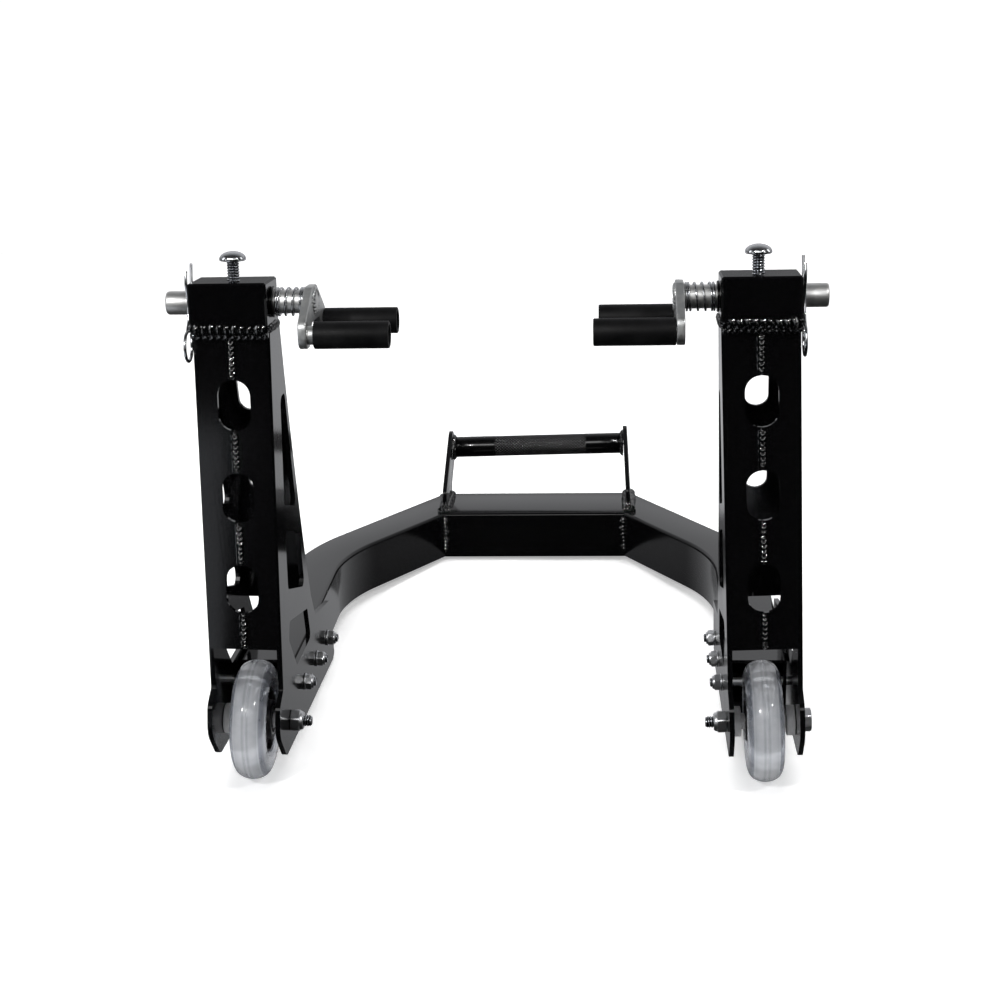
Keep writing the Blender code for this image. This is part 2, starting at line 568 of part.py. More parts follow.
rear = place("rear_tube", tube([(-150, REAR_DEPTH / 2), (150, REAR_DEPTH / 2)], REAR_DEPTH, TUBE_H), arm_plane, 1, BLACK)
for side, tag in ((1, "r"), (-1, "l")):
    boolean(rear, place("rear_seam_" + tag, seam_cutter(False), arm_plane, side, None, True))
(right, _, rise), (left, _, _) = BRACKETS["r"], BRACKETS["l"]
bar = rod(-left + 2 * GAP, right - 4 * GAP, BAR_R, 28, BAR_Y, BAR_Z)
slope = rise / (right + left)
bar.transform(Matrix(((1, 0, 0, 0), (0, 1, 0, 0), (slope, 0, 1, slope * left * MM), (0, 0, 0, 1))))
place("handle_bar", bar, stance, 1, BLACK)
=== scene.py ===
"""Looks of the motorcycle paddock stand: finishes, fasteners, welds, threads, tyres and the studio."""
import json
import math

import bmesh
import bpy
import numpy as np
from mathutils import Matrix, Vector


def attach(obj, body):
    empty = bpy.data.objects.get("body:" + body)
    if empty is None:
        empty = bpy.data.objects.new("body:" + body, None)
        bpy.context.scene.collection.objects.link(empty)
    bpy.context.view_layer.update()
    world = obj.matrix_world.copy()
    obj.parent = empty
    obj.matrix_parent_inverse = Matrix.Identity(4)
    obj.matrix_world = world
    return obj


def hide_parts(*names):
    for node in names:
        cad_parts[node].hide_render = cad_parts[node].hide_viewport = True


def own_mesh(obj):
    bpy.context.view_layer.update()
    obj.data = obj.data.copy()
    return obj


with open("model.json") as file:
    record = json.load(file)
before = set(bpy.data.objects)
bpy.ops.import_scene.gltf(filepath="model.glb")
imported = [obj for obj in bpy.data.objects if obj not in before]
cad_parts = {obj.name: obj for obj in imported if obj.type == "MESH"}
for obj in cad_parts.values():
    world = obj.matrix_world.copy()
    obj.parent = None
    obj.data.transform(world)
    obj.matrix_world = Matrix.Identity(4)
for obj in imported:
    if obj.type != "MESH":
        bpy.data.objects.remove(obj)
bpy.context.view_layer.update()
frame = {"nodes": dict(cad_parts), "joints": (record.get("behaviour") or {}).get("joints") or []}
JOINTS = {j["name"]: j for j in frame["joints"]}
MM = 0.001

# --------------------------------------------------------------------------- frames of the stand
_up = Vector(JOINTS["lock_screw_turn_out_r"]["axis"])
LEAN = math.atan2(_up.y, _up.z)
_axle_r, _axle_l = (Vector(JOINTS["wheel_spin_" + t]["pos_m"]) for t in "rl")
STANCE = Matrix.Translation((_axle_r + _axle_l) / 2) @ Matrix.Rotation(-LEAN, 4, "X") @ Matrix.Scale(MM, 4)
WHEEL_X = (_axle_r - _axle_l).length / 2 / MM
SPLAY = math.acos(abs(JOINTS["wheel_spin_r"]["axis"][0]))
_pin = STANCE.inverted() @ Vector(JOINTS["fork_swivel_r"]["pos_m"])
PIN_Y, PIN_Z = _pin.y, _pin.z
SIDES = {"r": Matrix.Identity(4), "l": Matrix.Scale(-1, 4, (1, 0, 0))}
ARM_RISE = math.radians(3.0)


def stance(t):
    return STANCE @ SIDES[t]


def upright(t):
    return STANCE @ SIDES[t] @ Matrix.Translation((WHEEL_X, 0, 0)) @ Matrix.Rotation(-SPLAY, 4, "Y")


def pin(t):
    return STANCE @ SIDES[t] @ Matrix.Translation((0, PIN_Y, PIN_Z))


def arms(t):
    return STANCE @ SIDES[t] @ Matrix.Translation((0, 484.5, 55.04)) @ Matrix.Rotation(ARM_RISE, 4, "X")


UP_W, SHEET, GAP = 59.5, 4.0, 0.3
FACE = UP_W / 2 + GAP
FRAME_BOLTS, FRAME_BOLT_Z = (67.6, 130.3, 190.7), 10.4
REAR_HALF, REAR_DEPTH, TUBE_H, ARM_W = 97.0, 79.5, 50.0, 48.5
DIAGONAL = math.radians(58.0)

# --------------------------------------------------------------------------- materials


def tree(name):
    made = bpy.data.materials.new(name)
    made.use_nodes = True
    nodes = made.node_tree.nodes
    return made, nodes, made.node_tree.links, nodes["Principled BSDF"]


def coords(nodes, links, scale=(1, 1, 1)):
    at = nodes.new("ShaderNodeTexCoord")
    mapping = nodes.new("ShaderNodeMapping")
    mapping.inputs["Scale"].default_value = scale
    links.new(at.outputs["Object"], mapping.inputs["Vector"])
    return mapping.outputs["Vector"]


def noise(nodes, links, vector, scale, detail=2.0, rough=0.5):
    made = nodes.new("ShaderNodeTexNoise")
    made.inputs["Scale"].default_value = scale
    made.inputs["Detail"].default_value = detail
    made.inputs["Roughness"].default_value = rough
    links.new(vector, made.inputs["Vector"])
    return made.outputs["Fac"]


def ramp(nodes, links, value, low, high, lo_in=0.3, hi_in=0.7):
    """Maps a 0..1 value to numbers or colours between low and high."""
    made = nodes.new("ShaderNodeValToRGB")
    e = made.color_ramp.elements
    e[0].position, e[1].position = lo_in, hi_in
    e[0].color = (*low, 1) if isinstance(low, tuple) else (low, low, low, 1)
    e[1].color = (*high, 1) if isinstance(high, tuple) else (high, high, high, 1)
    links.new(value, made.inputs["Fac"])
    return made.outputs["Color"]


def bump(nodes, links, height, strength, distance, then=None):
    made = nodes.new("ShaderNodeBump")
    made.inputs["Strength"].default_value = strength
    made.inputs["Distance"].default_value = distance
    links.new(height, made.inputs["Height"])
    if then is not None:
        links.new(then, made.inputs["Normal"])
    return made.outputs["Normal"]


def powder_coat(name, dark, light, rough_lo, rough_hi, peel, ior=1.5):
    made, nodes, links, shader = tree(name)
    at = coords(nodes, links)
    shader.inputs["IOR"].default_value = ior
    broad = noise(nodes, links, at, 9.0, 3.0)
    fine = noise(nodes, links, at, 620.0, 2.0)
    links.new(ramp(nodes, links, fine, dark, light, 0.35, 0.75), shader.inputs["Base Color"])
    links.new(ramp(nodes, links, broad, rough_lo, rough_hi), shader.inputs["Roughness"])
    wave = bump(nodes, links, noise(nodes, links, at, 230.0, 1.0), peel, 0.00025)
    links.new(bump(nodes, links, fine, peel * 0.6, 0.00006, wave), shader.inputs["Normal"])
    return made


def metal(name, dark, light, rough_lo, rough_hi, stretch=(1, 1, 1), grain=900.0, strength=0.12, distance=0.00004):
    made, nodes, links, shader = tree(name)
    at = coords(nodes, links, stretch)
    shader.inputs["Metallic"].default_value = 1.0
    broad = noise(nodes, links, coords(nodes, links), 70.0, 3.0, 0.6)
    fine = noise(nodes, links, at, grain, 3.0, 0.6)
    links.new(ramp(nodes, links, broad, dark, light), shader.inputs["Base Color"])
    links.new(ramp(nodes, links, fine, rough_lo, rough_hi), shader.inputs["Roughness"])
    links.new(bump(nodes, links, fine, strength, distance), shader.inputs["Normal"])
    return made


BLACK = powder_coat("black_powder_coat", (0.0010, 0.0010, 0.0012), (0.0024, 0.0024, 0.0027), 0.09, 0.15, 0.05)
WELD = powder_coat("coated_weld", (0.0010, 0.0010, 0.0011), (0.0026, 0.0026, 0.0028), 0.05, 0.10, 0.05, 2.2)
# black knurl: the ridge tops are painted a paler grey from a vertex layer, a painted highlight in place of the glints
# on the knurl
KNURL, _n, _l, _s = tree("black_knurl")
_at = coords(_n, _l)
_ridge_highlight = _n.new("ShaderNodeAttribute")
_ridge_highlight.attribute_name = "ridge_highlight"
_s.inputs["IOR"].default_value = 1.6
_l.new(ramp(_n, _l, _ridge_highlight.outputs["Fac"], (0.0012, 0.0012, 0.0014), (0.22, 0.22, 0.225), 0.45, 1.0), _s.inputs["Base Color"])
_l.new(ramp(_n, _l, noise(_n, _l, _at, 300.0, 2.0), 0.12, 0.22), _s.inputs["Roughness"])
_l.new(bump(_n, _l, noise(_n, _l, _at, 620.0, 2.0), 0.04, 0.00008), _s.inputs["Normal"])
ZINC = metal("bright_zinc", (0.60, 0.61, 0.63), (0.80, 0.81, 0.83), 0.13, 0.24)
FASTENER = metal("fastener_zinc", (0.74, 0.75, 0.77), (0.92, 0.93, 0.94), 0.30, 0.44)
PIN = metal("turned_zinc", (0.68, 0.68, 0.67), (0.84, 0.84, 0.83), 0.38, 0.52, (14, 1, 1), 160.0, 0.14, 0.00003)
FORK = metal("blue_zinc", (0.50, 0.515, 0.52), (0.74, 0.745, 0.73), 0.36, 0.54, (1, 1, 1), 420.0, 0.30, 0.00006)
# zinc thread: painted shade, the thread roots are coloured near black from a vertex layer while the crests keep the
# bright zinc
THREAD, _n, _l, _s = tree("zinc_thread")
_at = coords(_n, _l)
_painted_root_shade = _n.new("ShaderNodeAttribute")
_painted_root_shade.attribute_name = "painted_root_shade"
_s.inputs["Metallic"].default_value = 1.0
_l.new(ramp(_n, _l, _painted_root_shade.outputs["Fac"], (0.80, 0.82, 0.86), (0.04, 0.042, 0.046), 0.25, 0.65), _s.inputs["Base Color"])
_l.new(ramp(_n, _l, noise(_n, _l, _at, 400.0, 2.0), 0.18, 0.32), _s.inputs["Roughness"])
_l.new(bump(_n, _l, noise(_n, _l, _at, 900.0, 2.0), 0.1, 0.00003), _s.inputs["Normal"])
STEEL = metal("bearing_steel", (0.36, 0.36, 0.37), (0.50, 0.50, 0.51), 0.14, 0.24)

DULL, _n, _l, _s = tree("machined_spacer")
_at = coords(_n, _l, (12, 1, 1))
_f = noise(_n, _l, _at, 150.0, 3.0)
_s.inputs["Specular IOR Level"].default_value = 0.35
_l.new(ramp(_n, _l, _f, (0.50, 0.50, 0.51), (0.64, 0.64, 0.65)), _s.inputs["Base Color"])
_l.new(ramp(_n, _l, _f, 0.42, 0.60), _s.inputs["Roughness"])
_l.new(bump(_n, _l, _f, 0.15, 0.00003), _s.inputs["Normal"])

RUBBER, _n, _l, _s = tree("sleeve_rubber")
_at = coords(_n, _l)
_f = noise(_n, _l, _at, 900.0, 3.0, 0.65)
_l.new(ramp(_n, _l, noise(_n, _l, _at, 60.0, 3.0), (0.0008, 0.0008, 0.0010), (0.0034, 0.0034, 0.0037)), _s.inputs["Base Color"])
_s.inputs["Specular IOR Level"].default_value = 0.16
_l.new(ramp(_n, _l, _f, 0.42, 0.62), _s.inputs["Roughness"])
_l.new(bump(_n, _l, _f, 0.25, 0.00008), _s.inputs["Normal"])

NYLON, _n, _l, _s = tree("hub_nylon")
_at = coords(_n, _l)
_f = noise(_n, _l, _at, 1400.0, 2.0)
_l.new(ramp(_n, _l, noise(_n, _l, _at, 90.0, 2.0), (0.006, 0.006, 0.007), (0.016, 0.016, 0.018)), _s.inputs["Base Color"])
_l.new(ramp(_n, _l, _f, 0.30, 0.45), _s.inputs["Roughness"])
_l.new(bump(_n, _l, _f, 0.2, 0.00005), _s.inputs["Normal"])

TYRE, _n, _l, _s = tree("clear_polyurethane")
_at = coords(_n, _l)
_s.inputs["IOR"].default_value = 1.46
_s.inputs["Transmission Weight"].default_value = 0.62
# band layer: pale across the crown centre and at a narrow ring, painted highlights; darker over the shoulders and at
# a thin mould line
_band = _n.new("ShaderNodeAttribute")
_band.attribute_name = "band"
_cloud = noise(_n, _l, _at, 34.0, 4.0, 0.6)
_pale = ramp(_n, _l, _cloud, (0.66, 0.68, 0.71), (0.90, 0.91, 0.93))
_deep = ramp(_n, _l, _cloud, (0.20, 0.22, 0.26), (0.46, 0.48, 0.53))
_mix = _n.new("ShaderNodeMix")
_mix.data_type = "RGBA"
_l.new(_band.outputs["Fac"], _mix.inputs["Factor"])
_l.new(_deep, _mix.inputs["A"])
_l.new(_pale, _mix.inputs["B"])
_l.new(_mix.outputs["Result"], _s.inputs["Base Color"])
_l.new(ramp(_n, _l, noise(_n, _l, _at, 45.0, 3.0), 0.05, 0.13), _s.inputs["Roughness"])
_l.new(bump(_n, _l, noise(_n, _l, _at, 90.0, 2.0), 0.04, 0.0003), _s.inputs["Normal"])


# --------------------------------------------------------------------------- mesh helpers
def put(name, bm, matrix, body, look, replaces=(), smooth=32.0, merge=True):
    """Turns a bmesh in a local frame (mm) into a piece that rides on a body."""
    if merge:
        bmesh.ops.remove_doubles(bm, verts=bm.verts, dist=1e-4)
    bmesh.ops.transform(bm, matrix=matrix, verts=bm.verts)
    bmesh.ops.recalc_face_normals(bm, faces=bm.faces)
    mesh = bpy.data.meshes.new(name)
    bm.to_mesh(mesh)
    bm.free()
    mesh.materials.append(look)
    mesh.shade_smooth()
    mesh.set_sharp_from_angle(angle=math.radians(smooth))
    obj = bpy.data.objects.new(name, mesh)
    bpy.context.scene.collection.objects.link(obj)
    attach(obj, body)
    if replaces:
        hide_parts(*replaces)
    return obj


def lathe(profile, steps, y=0.0, z=0.0, ripple=None):
    """Solid of revolution about X from a profile of (x, r). Open profiles start and end at r = 0."""
    bm = bmesh.new()
    rings = []
    for x, r in profile:
        if r < 1e-6:
            rings.append([bm.verts.new((x, y, z))])
        else:
            rings.append([bm.verts.new((x, y + r * math.cos(2 * math.pi * k / steps), z + r * math.sin(2 * math.pi * k / steps))) for k in range(steps)])
    pairs = list(zip(rings, rings[1:]))
    if len(rings[0]) > 1:
        pairs.append((rings[-1], rings[0]))
    for a, b in pairs:
        for k in range(steps):
            j = (k + 1) % steps
            if len(a) == 1 and len(b) == 1:
                continue
            if len(a) == 1:
                bm.faces.new((a[0], b[k], b[j]))
            elif len(b) == 1:
                bm.faces.new((a[k], b[0], a[j]))
            else:
                bm.faces.new((a[k], b[k], b[j], a[j]))
    return bm


def sweep(points, radius, sides=12, closed_ends=True, squash=1.0):
    """A round wire along points, with frames carried along so that it doesn't twist."""
    bm = bmesh.new()
    pts = [Vector(p) for p in points]
    normal = None
    rings = []
    for i, p in enumerate(pts):
        tangent = (pts[min(i + 1, len(pts) - 1)] - pts[max(i - 1, 0)]).normalized()
        if normal is None:
            normal = tangent.orthogonal().normalized()
        normal = (normal - tangent * normal.dot(tangent)).normalized()
        other = tangent.cross(normal)
        r = radius(i) if callable(radius) else radius
        rings.append([bm.verts.new(p + (normal * math.cos(2 * math.pi * k / sides) + other * math.sin(2 * math.pi * k / sides) * squash) * r) for k in range(sides)])
    for a, b in zip(rings, rings[1:]):
        for k in range(sides):
            j = (k + 1) % sides
            bm.faces.new((a[k], a[j], b[j], b[k]))
    if closed_ends:
        bm.faces.new(list(reversed(rings[0])))
        bm.faces.new(rings[-1])
    return bm


def join(*parts):
    """Several bmeshes as one."""
    out = bmesh.new()
    for part in parts:
        mesh = bpy.data.meshes.new("part")
        part.to_mesh(mesh)
        part.free()
        out.from_mesh(mesh)
        bpy.data.meshes.remove(mesh)
    return out


def spline(points, per=6):
    """A smooth Catmull-Rom curve through the points."""
    pts = [Vector(p) for p in points]
    out = []
    for i in range(len(pts) - 1):
        a, b, c, d = pts[max(i - 1, 0)], pts[i], pts[i + 1], pts[min(i + 2, len(pts) - 1)]
        for k in range(per):
            t = k / per
            out.append(0.5 * ((2 * b) + (c - a) * t + (2 * a - 5 * b + 4 * c - d) * t * t + (3 * b - a - 3 * c + d) * t ** 3))
    return out + [pts[-1]]


def filleted(corners, steps=6):
    """A closed outline from corners (u, v, radius), with each radius turned into an arc."""
    out = []
    n = len(corners)
    for i, corner in enumerate(corners):
        here = Vector(corner[:2])
        radius = corner[2] if len(corner) > 2 else 0
        if not radius:
            out.append(here)
            continue
        before = Vector(corners[i - 1][:2]) - here
        after = Vector(corners[(i + 1) % n][:2]) - here
        half = before.angle(after) / 2
        reach = min(radius / math.tan(half), 0.48 * before.length, 0.48 * after.length)
        radius = reach * math.tan(half)
        centre = here + (before.normalized() + after.normalized()).normalized() * (radius / math.sin(half))
        start = here + before.normalized() * reach - centre
        end = here + after.normalized() * reach - centre
        turn = start.angle_signed(end)
        for k in range(steps + 1):
            a = -turn * k / steps
            out.append(centre + Vector((start.x * math.cos(a) - start.y * math.sin(a), start.x * math.sin(a) + start.y * math.cos(a))))
    return out


def ring(u, v, r, n, phase=0.0):
    return [Vector((u + r * math.cos(phase + 2 * math.pi * k / n), v + r * math.sin(phase + 2 * math.pi * k / n))) for k in range(n)]


def plate(outlines, x0, x1, edge=0.6, segments=3):
    """A plate with rounded edges: outlines in (y, z), the first outside, from x0 to x1."""
    curve = bpy.data.curves.new("outline", "CURVE")
    curve.dimensions = "2D"
    curve.fill_mode = "BOTH"
    curve.extrude = abs(x1 - x0) / 2 - edge
    curve.bevel_depth = edge
    curve.bevel_resolution = segments - 1
    curve.offset = -edge
    for outline in outlines:
        s = curve.splines.new("POLY")
        s.points.add(len(outline) - 1)
        for point, at in zip(s.points, outline):
            point.co = (at[0], at[1], 0, 1)
        s.use_cyclic_u = True
    obj = bpy.data.objects.new("outline", curve)
    bpy.context.scene.collection.objects.link(obj)
    bpy.context.view_layer.update()
    mesh = bpy.data.meshes.new_from_object(obj.evaluated_get(bpy.context.evaluated_depsgraph_get()))
    bpy.data.objects.remove(obj, do_unlink=True)
    mesh.transform(Matrix(((0, 0, 1, (x0 + x1) / 2), (1, 0, 0, 0), (0, 1, 0, 0), (0, 0, 0, 1))))
    bm = bmesh.new()
    bm.from_mesh(mesh)
    bpy.data.meshes.remove(mesh)
    bmesh.ops.remove_doubles(bm, verts=bm.verts, dist=1e-4)
    return bm


def hexagon(x0, x1, flats, y=0.0, z=0.0, bore=None, phase=0.0, chamfer=0.9, both=True):
    """A hexagonal prism about X whose ends are turned down to a cone, as on a nut or a bolt head."""
    bm = bmesh.new()
    n = 48
    circum = flats / 2 / math.cos(math.pi / 6)

    def reach(a, limit):
        near = (a - phase) % (math.pi / 3) - math.pi / 6
        return min(flats / 2 / math.cos(near), limit)
    rows = []
    inner = bore if bore else 0.0
    sections = [(x1, flats / 2 * 0.97), (x1 - 0.35 * chamfer, (flats / 2 + circum) / 2), (x1 - chamfer, circum + 1)]
    if both:
        sections += [(x0 + chamfer, circum + 1), (x0 + 0.35 * chamfer, (flats / 2 + circum) / 2), (x0, flats / 2 * 0.97)]
    else:
        sections += [(x0, circum + 1)]
    for x, limit in sections:
        rows.append([bm.verts.new((x, y + reach(a, limit) * math.cos(a), z + reach(a, limit) * math.sin(a))) for a in (phase + 2 * math.pi * k / n for k in range(n))])
    if inner:
        tops = [bm.verts.new((x1, y + inner * math.cos(phase + 2 * math.pi * k / n), z + inner * math.sin(phase + 2 * math.pi * k / n))) for k in range(n)]
        ends = [bm.verts.new((x0, v.co.y, v.co.z)) for v in tops]
        rows = [tops, *rows, ends]
        rows.append(tops)
    for a, b in zip(rows, rows[1:]):
        for k in range(n):
            j = (k + 1) % n
            bm.faces.new((a[k], b[k], b[j], a[j]))
    if not inner:
        bm.faces.new(rows[0])
        bm.faces.new(list(reversed(rows[-1])))
    return bm


def threaded(x0, x1, r, pitch, steps=28, depth=None, tip=True):
    """A threaded rod from x0 to x1: one helical ridge as a height field over the cylinder, closed at both ends, with
    painted shade in the thread roots.
    """
    depth = depth or pitch * 0.5
    bm = bmesh.new()
    painted_root_shade = bm.verts.layers.float.new("painted_root_shade")
    rows_per = 6
    count = max(int(abs(x1 - x0) / pitch * rows_per), 2)
    rows = []
    for i in range(count + 1):
        x = x0 + (x1 - x0) * i / count
        fade = min(1.0, abs(x - x1) / (pitch * 0.8)) if tip else 1.0
        line = []
        for k in range(steps):
            a = 2 * math.pi * k / steps
            phase = ((x - x0) / pitch - k / steps) % 1.0
            height = abs(2 * phase - 1)
            rr = r - depth + depth * height * fade - (1 - fade) * depth * 0.2
            line.append(bm.verts.new((x, rr * math.cos(a), rr * math.sin(a))))
            # painted shade: 1 at the thread root, 0 at the crest, so the grooves are coloured dark
            line[-1][painted_root_shade] = 1 - height
        rows.append(line)
    for a, b in zip(rows, rows[1:]):
        for k in range(steps):
            j = (k + 1) % steps
            bm.faces.new((a[k], a[j], b[j], b[k]))
    bm.faces.new(rows[0])
    bm.faces.new(list(reversed(rows[-1])))
    return bm


def weld(points, normals, width, height, pitch=3.2, seed=1, base=0.5, lean=0.9, blob=0.0):
    """A rippled weld bead along points, standing up along normals: crescent ripples, uneven width and height."""
    rng = np.random.default_rng(seed)
    pts = [Vector(p) for p in points]
    nrm = [Vector(n).normalized() for n in normals]
    lengths = [0.0]
    for a, b in zip(pts, pts[1:]):
        lengths.append(lengths[-1] + (b - a).length)
    total = lengths[-1]
    steps = max(int(total / pitch * 9), 6)
    across = 10
    jitter = rng.normal(0, 1, int(total / pitch) + 4)
    sway = rng.normal(0, 1, int(total / pitch) + 4)

    def at(s):
        s = min(max(s, 0), total)
        i = min(max(int(np.searchsorted(lengths, s)) - 1, 0), len(pts) - 2)
        t = (s - lengths[i]) / max(lengths[i + 1] - lengths[i], 1e-9)
        return pts[i].lerp(pts[i + 1], t), nrm[i].lerp(nrm[i + 1], t).normalized(), (pts[i + 1] - pts[i]).normalized()
    bm = bmesh.new()
    rows = []
    for q in range(steps + 1):
        s = total * q / steps
        p, n, tangent = at(s)
        side = tangent.cross(n).normalized()
        cell = s / pitch
        i = int(cell)
        blend = cell - i
        wob = jitter[i] * (1 - blend) + jitter[i + 1] * blend
        off = (sway[i] * (1 - blend) + sway[i + 1] * blend) * width * 0.05
        end = min(1.0, 0.35 + min(s, total - s) / (width * 0.6) * 0.65) + blob * math.exp(-((total - s - width * 0.5) / (width * 0.45)) ** 2)
        w = width / 2 * (1 + 0.07 * wob) * math.sqrt(max(end, 0.05))
        h = height * (1 + 0.10 * wob) * end
        row = []
        for k in range(across + 1):
            v = -1 + 2 * k / across
            bow = (cell + lean * v * v * 0.8) % 1.0
            scallop = 0.40 + 0.60 * abs(math.sin(math.pi * bow)) ** 0.8
            dome = math.sqrt(max(0.0, 1 - v * v)) * scallop
            edge = 1 + 0.06 * (scallop - 0.85)
            row.append(bm.verts.new(p + side * (v * w * edge + off) + n * (h * dome - 0.02)))
        for k in range(across, -1, -1):
            v = -1 + 2 * k / across
            if k in (0, across):
                continue
            row.append(bm.verts.new(p + side * (v * w + off) - n * base * (1 - v * v)))
        rows.append(row)
    size = len(rows[0])
    for a, b in zip(rows, rows[1:]):
        for k in range(size):
            j = (k + 1) % size
            bm.faces.new((a[k], b[k], b[j], a[j]))
    bm.faces.new(list(reversed(rows[0])))
    bm.faces.new(rows[-1])
    return bm


def straight(a, b, normal, n=2):
    a, b = Vector(a), Vector(b)
    return [a.lerp(b, k / (n - 1)) for k in range(n)], [Vector(normal)] * n


# --------------------------------------------------------------------------- outlines shared with the frame
def front_y(z):
    return -60.5 + 0.09 * (330.0 - z)


def rear_point(t, inset=0.0):
    y, z = -18.5 + 0.40 * t + 0.0003 * t * t, 337.0 - t
    lean = 0.40 + 0.0006 * t
    length = math.hypot(1, lean)
    return Vector((y - inset / length, z - inset * lean / length))


FORK_OUTLINE = filleted([(-10, 12, 4), (-47.5, -11, 8), (-48.5, -30.5, 9.5), (-28.5, -30.5, 9), (-19, -14, 10),
                         (19, -14, 10), (28.5, -30.5, 9), (48.5, -30.5, 9.5), (47.5, -11, 8), (10, 12, 4)], 8)
BRACKET_OUTLINE = filleted([(494, 55.84, 0.5), (494, 77, 8), (574, 129.5, 16), (600, 118, 14), (598, 94, 12), (563, 72, 14), (560, 59.29, 0.5)], 8)


def arm_path(bend_steps=26):
    along = Vector((math.cos(DIAGONAL), -math.sin(DIAGONAL)))
    across = Vector((math.sin(DIAGONAL), math.cos(DIAGONAL)))
    seam_middle = Vector((REAR_HALF, 0)) + across * (ARM_W / 2)
    corner = seam_middle + along * ((209.9 - seam_middle.x) / along.x)
    bend_r = 172.0 + ARM_W / 2
    turn = math.pi / 2 - DIAGONAL
    centre = Vector((209.9 - bend_r, corner.y - bend_r * math.tan(turn / 2)))
    arc = [centre + bend_r * Vector((math.cos(turn * k / bend_steps), math.sin(turn * k / bend_steps))) for k in range(bend_steps + 1)]
    start = Vector((209.9, -427.5))
    run = [start.lerp(arc[0], k / 6) for k in range(6)]
    return run + arc + [seam_middle - along * 90]


def seam_line():
    along = Vector((math.cos(DIAGONAL), -math.sin(DIAGONAL)))
    outer = Vector((REAR_HALF, 0)) + Vector((math.sin(DIAGONAL), math.cos(DIAGONAL))) * ARM_W
    t = (outer.y - REAR_DEPTH) / -along.y
    return Vector((REAR_HALF, 0)), Vector((outer.x + along.x * t, REAR_DEPTH))


def square_tube(path, width, height, cuts, corner=3.4, wall=2.8):
    """A hollow rectangular tube along a level path, cut by planes (point, normal), open at its ends."""
    section = filleted([(-width / 2, -height / 2, corner), (width / 2, -height / 2, corner), (width / 2, height / 2, corner), (-width / 2, height / 2, corner)], 6)
    inside = filleted([(-width / 2 + wall, -height / 2 + wall, 1.0), (width / 2 - wall, -height / 2 + wall, 1.0), (width / 2 - wall, height / 2 - wall, 1.0), (-width / 2 + wall, height / 2 - wall, 1.0)], 6)
    bm = bmesh.new()
    rows = []
    for i, p in enumerate(path):
        tangent = (path[min(i + 1, len(path) - 1)] - path[max(i - 1, 0)]).normalized()
        side = Vector((tangent.y, -tangent.x))
        rows.append([[bm.verts.new((p.x + side.x * u, p.y + side.y * u, v - height / 2)) for u, v in line] for line in (section, inside)])
    n = len(section)
    for a, b in zip(rows, rows[1:]):
        for k in range(n):
            j = (k + 1) % n
            bm.faces.new((a[0][k], a[0][j], b[0][j], b[0][k]))
            bm.faces.new((a[1][k], b[1][k], b[1][j], a[1][j]))
    for row, flip in ((rows[0], False), (rows[-1], True)):
        for k in range(n):
            j = (k + 1) % n
            quad = (row[0][k], row[1][k], row[1][j], row[0][j])
            bm.faces.new(tuple(reversed(quad)) if flip else quad)
    for point, normal in cuts:
        cut = bmesh.ops.bisect_plane(bm, geom=bm.verts[:] + bm.edges[:] + bm.faces[:], plane_co=point, plane_no=normal, clear_outer=True)
        edges = [e for e in cut["geom_cut"] if isinstance(e, bmesh.types.BMEdge) and len(e.link_faces) == 1]
        loops, todo = [], set(edges)
        while todo:
            first = todo.pop()
            chain = [first.verts[0], first.verts[1]]
            while True:
                following = next((e for e in todo if chain[-1] in e.verts), None)
                if following is None:
                    break
                todo.discard(following)
                chain.append(following.other_vert(chain[-1]))
            if chain[0] is chain[-1]:
                chain.pop()
            loops.append(chain)
        if len(loops) == 2 and len(loops[0]) == len(loops[1]):
            bmesh.ops.bridge_loops(bm, edges=edges)
        elif loops:
            bmesh.ops.triangle_fill(bm, use_beauty=True, edges=edges)
    return bm


# --------------------------------------------------------------------------- CAD pieces that keep their shape
def finish_node(name, look, width=0.5, segments=2, angle=35):
    obj = frame["nodes"][name]
    obj.data.materials.clear()
    obj.data.materials.append(look)
    if width:
        bevel = obj.modifiers.new("edges", "BEVEL")
        bevel.width, bevel.segments = width * MM, segments
        bevel.limit_method, bevel.angle_limit = "ANGLE", math.radians(angle)
        bevel.harden_normals = True
    return obj


for t in "rl":
    for n in ("upright_outer_", "upright_inner_"):
        finish_node(n + t, BLACK, 0.45)
    finish_node("head_block_" + t, BLACK, 0.5)
    finish_node("bearing_sleeve_" + t, STEEL, 0)

# --------------------------------------------------------------------------- frame tubes and handle
def bracket_frame(t):
    """The stance frame, leaned and stretched so that a bracket drawn upright at 93 mm stands as the CAD one does."""
    inner, lean, rise = {"r": (96.9, 0.06, 3.6), "l": (94.2, 0.02, 0.0)}[t]
    high, low = 109.6, 55.0
    return stance(t) @ Matrix(((1, 0, -lean, inner - 93.0 + lean * high), (0, 1, 0, 0), (0, 0, 1 + rise / (high - low), -rise * low / (high - low)), (0, 0, 0, 1)))


a, b = seam_line()
run = (b - a).normalized()
off = Vector((run.y, -run.x, 0))
for t in "rl":
    arm = square_tube(arm_path(), ARM_W, TUBE_H, [((a.x + off.x * 0.15, a.y + off.y * 0.15, 0), (-off.x, -off.y, 0))])
    put("arm_tube_" + t, arm, arms(t), "frame", BLACK, ["arm_" + t])
    put("bracket_plate_" + t, plate([BRACKET_OUTLINE], 93.0, 97.5, 0.7), bracket_frame(t), "frame", BLACK, ["handle_bracket_" + t])

cuts = [((s * (a.x - off.x * 0.15), a.y - off.y * 0.15, 0), (s * off.x, off.y, 0)) for s in (1, -1)]
path = [Vector((-150, REAR_DEPTH / 2)), Vector((0, REAR_DEPTH / 2)), Vector((150, REAR_DEPTH / 2))]
put("rear_tube_shell", square_tube(path, REAR_DEPTH, TUBE_H, cuts), arms("r"), "frame", BLACK, ["rear_tube"])


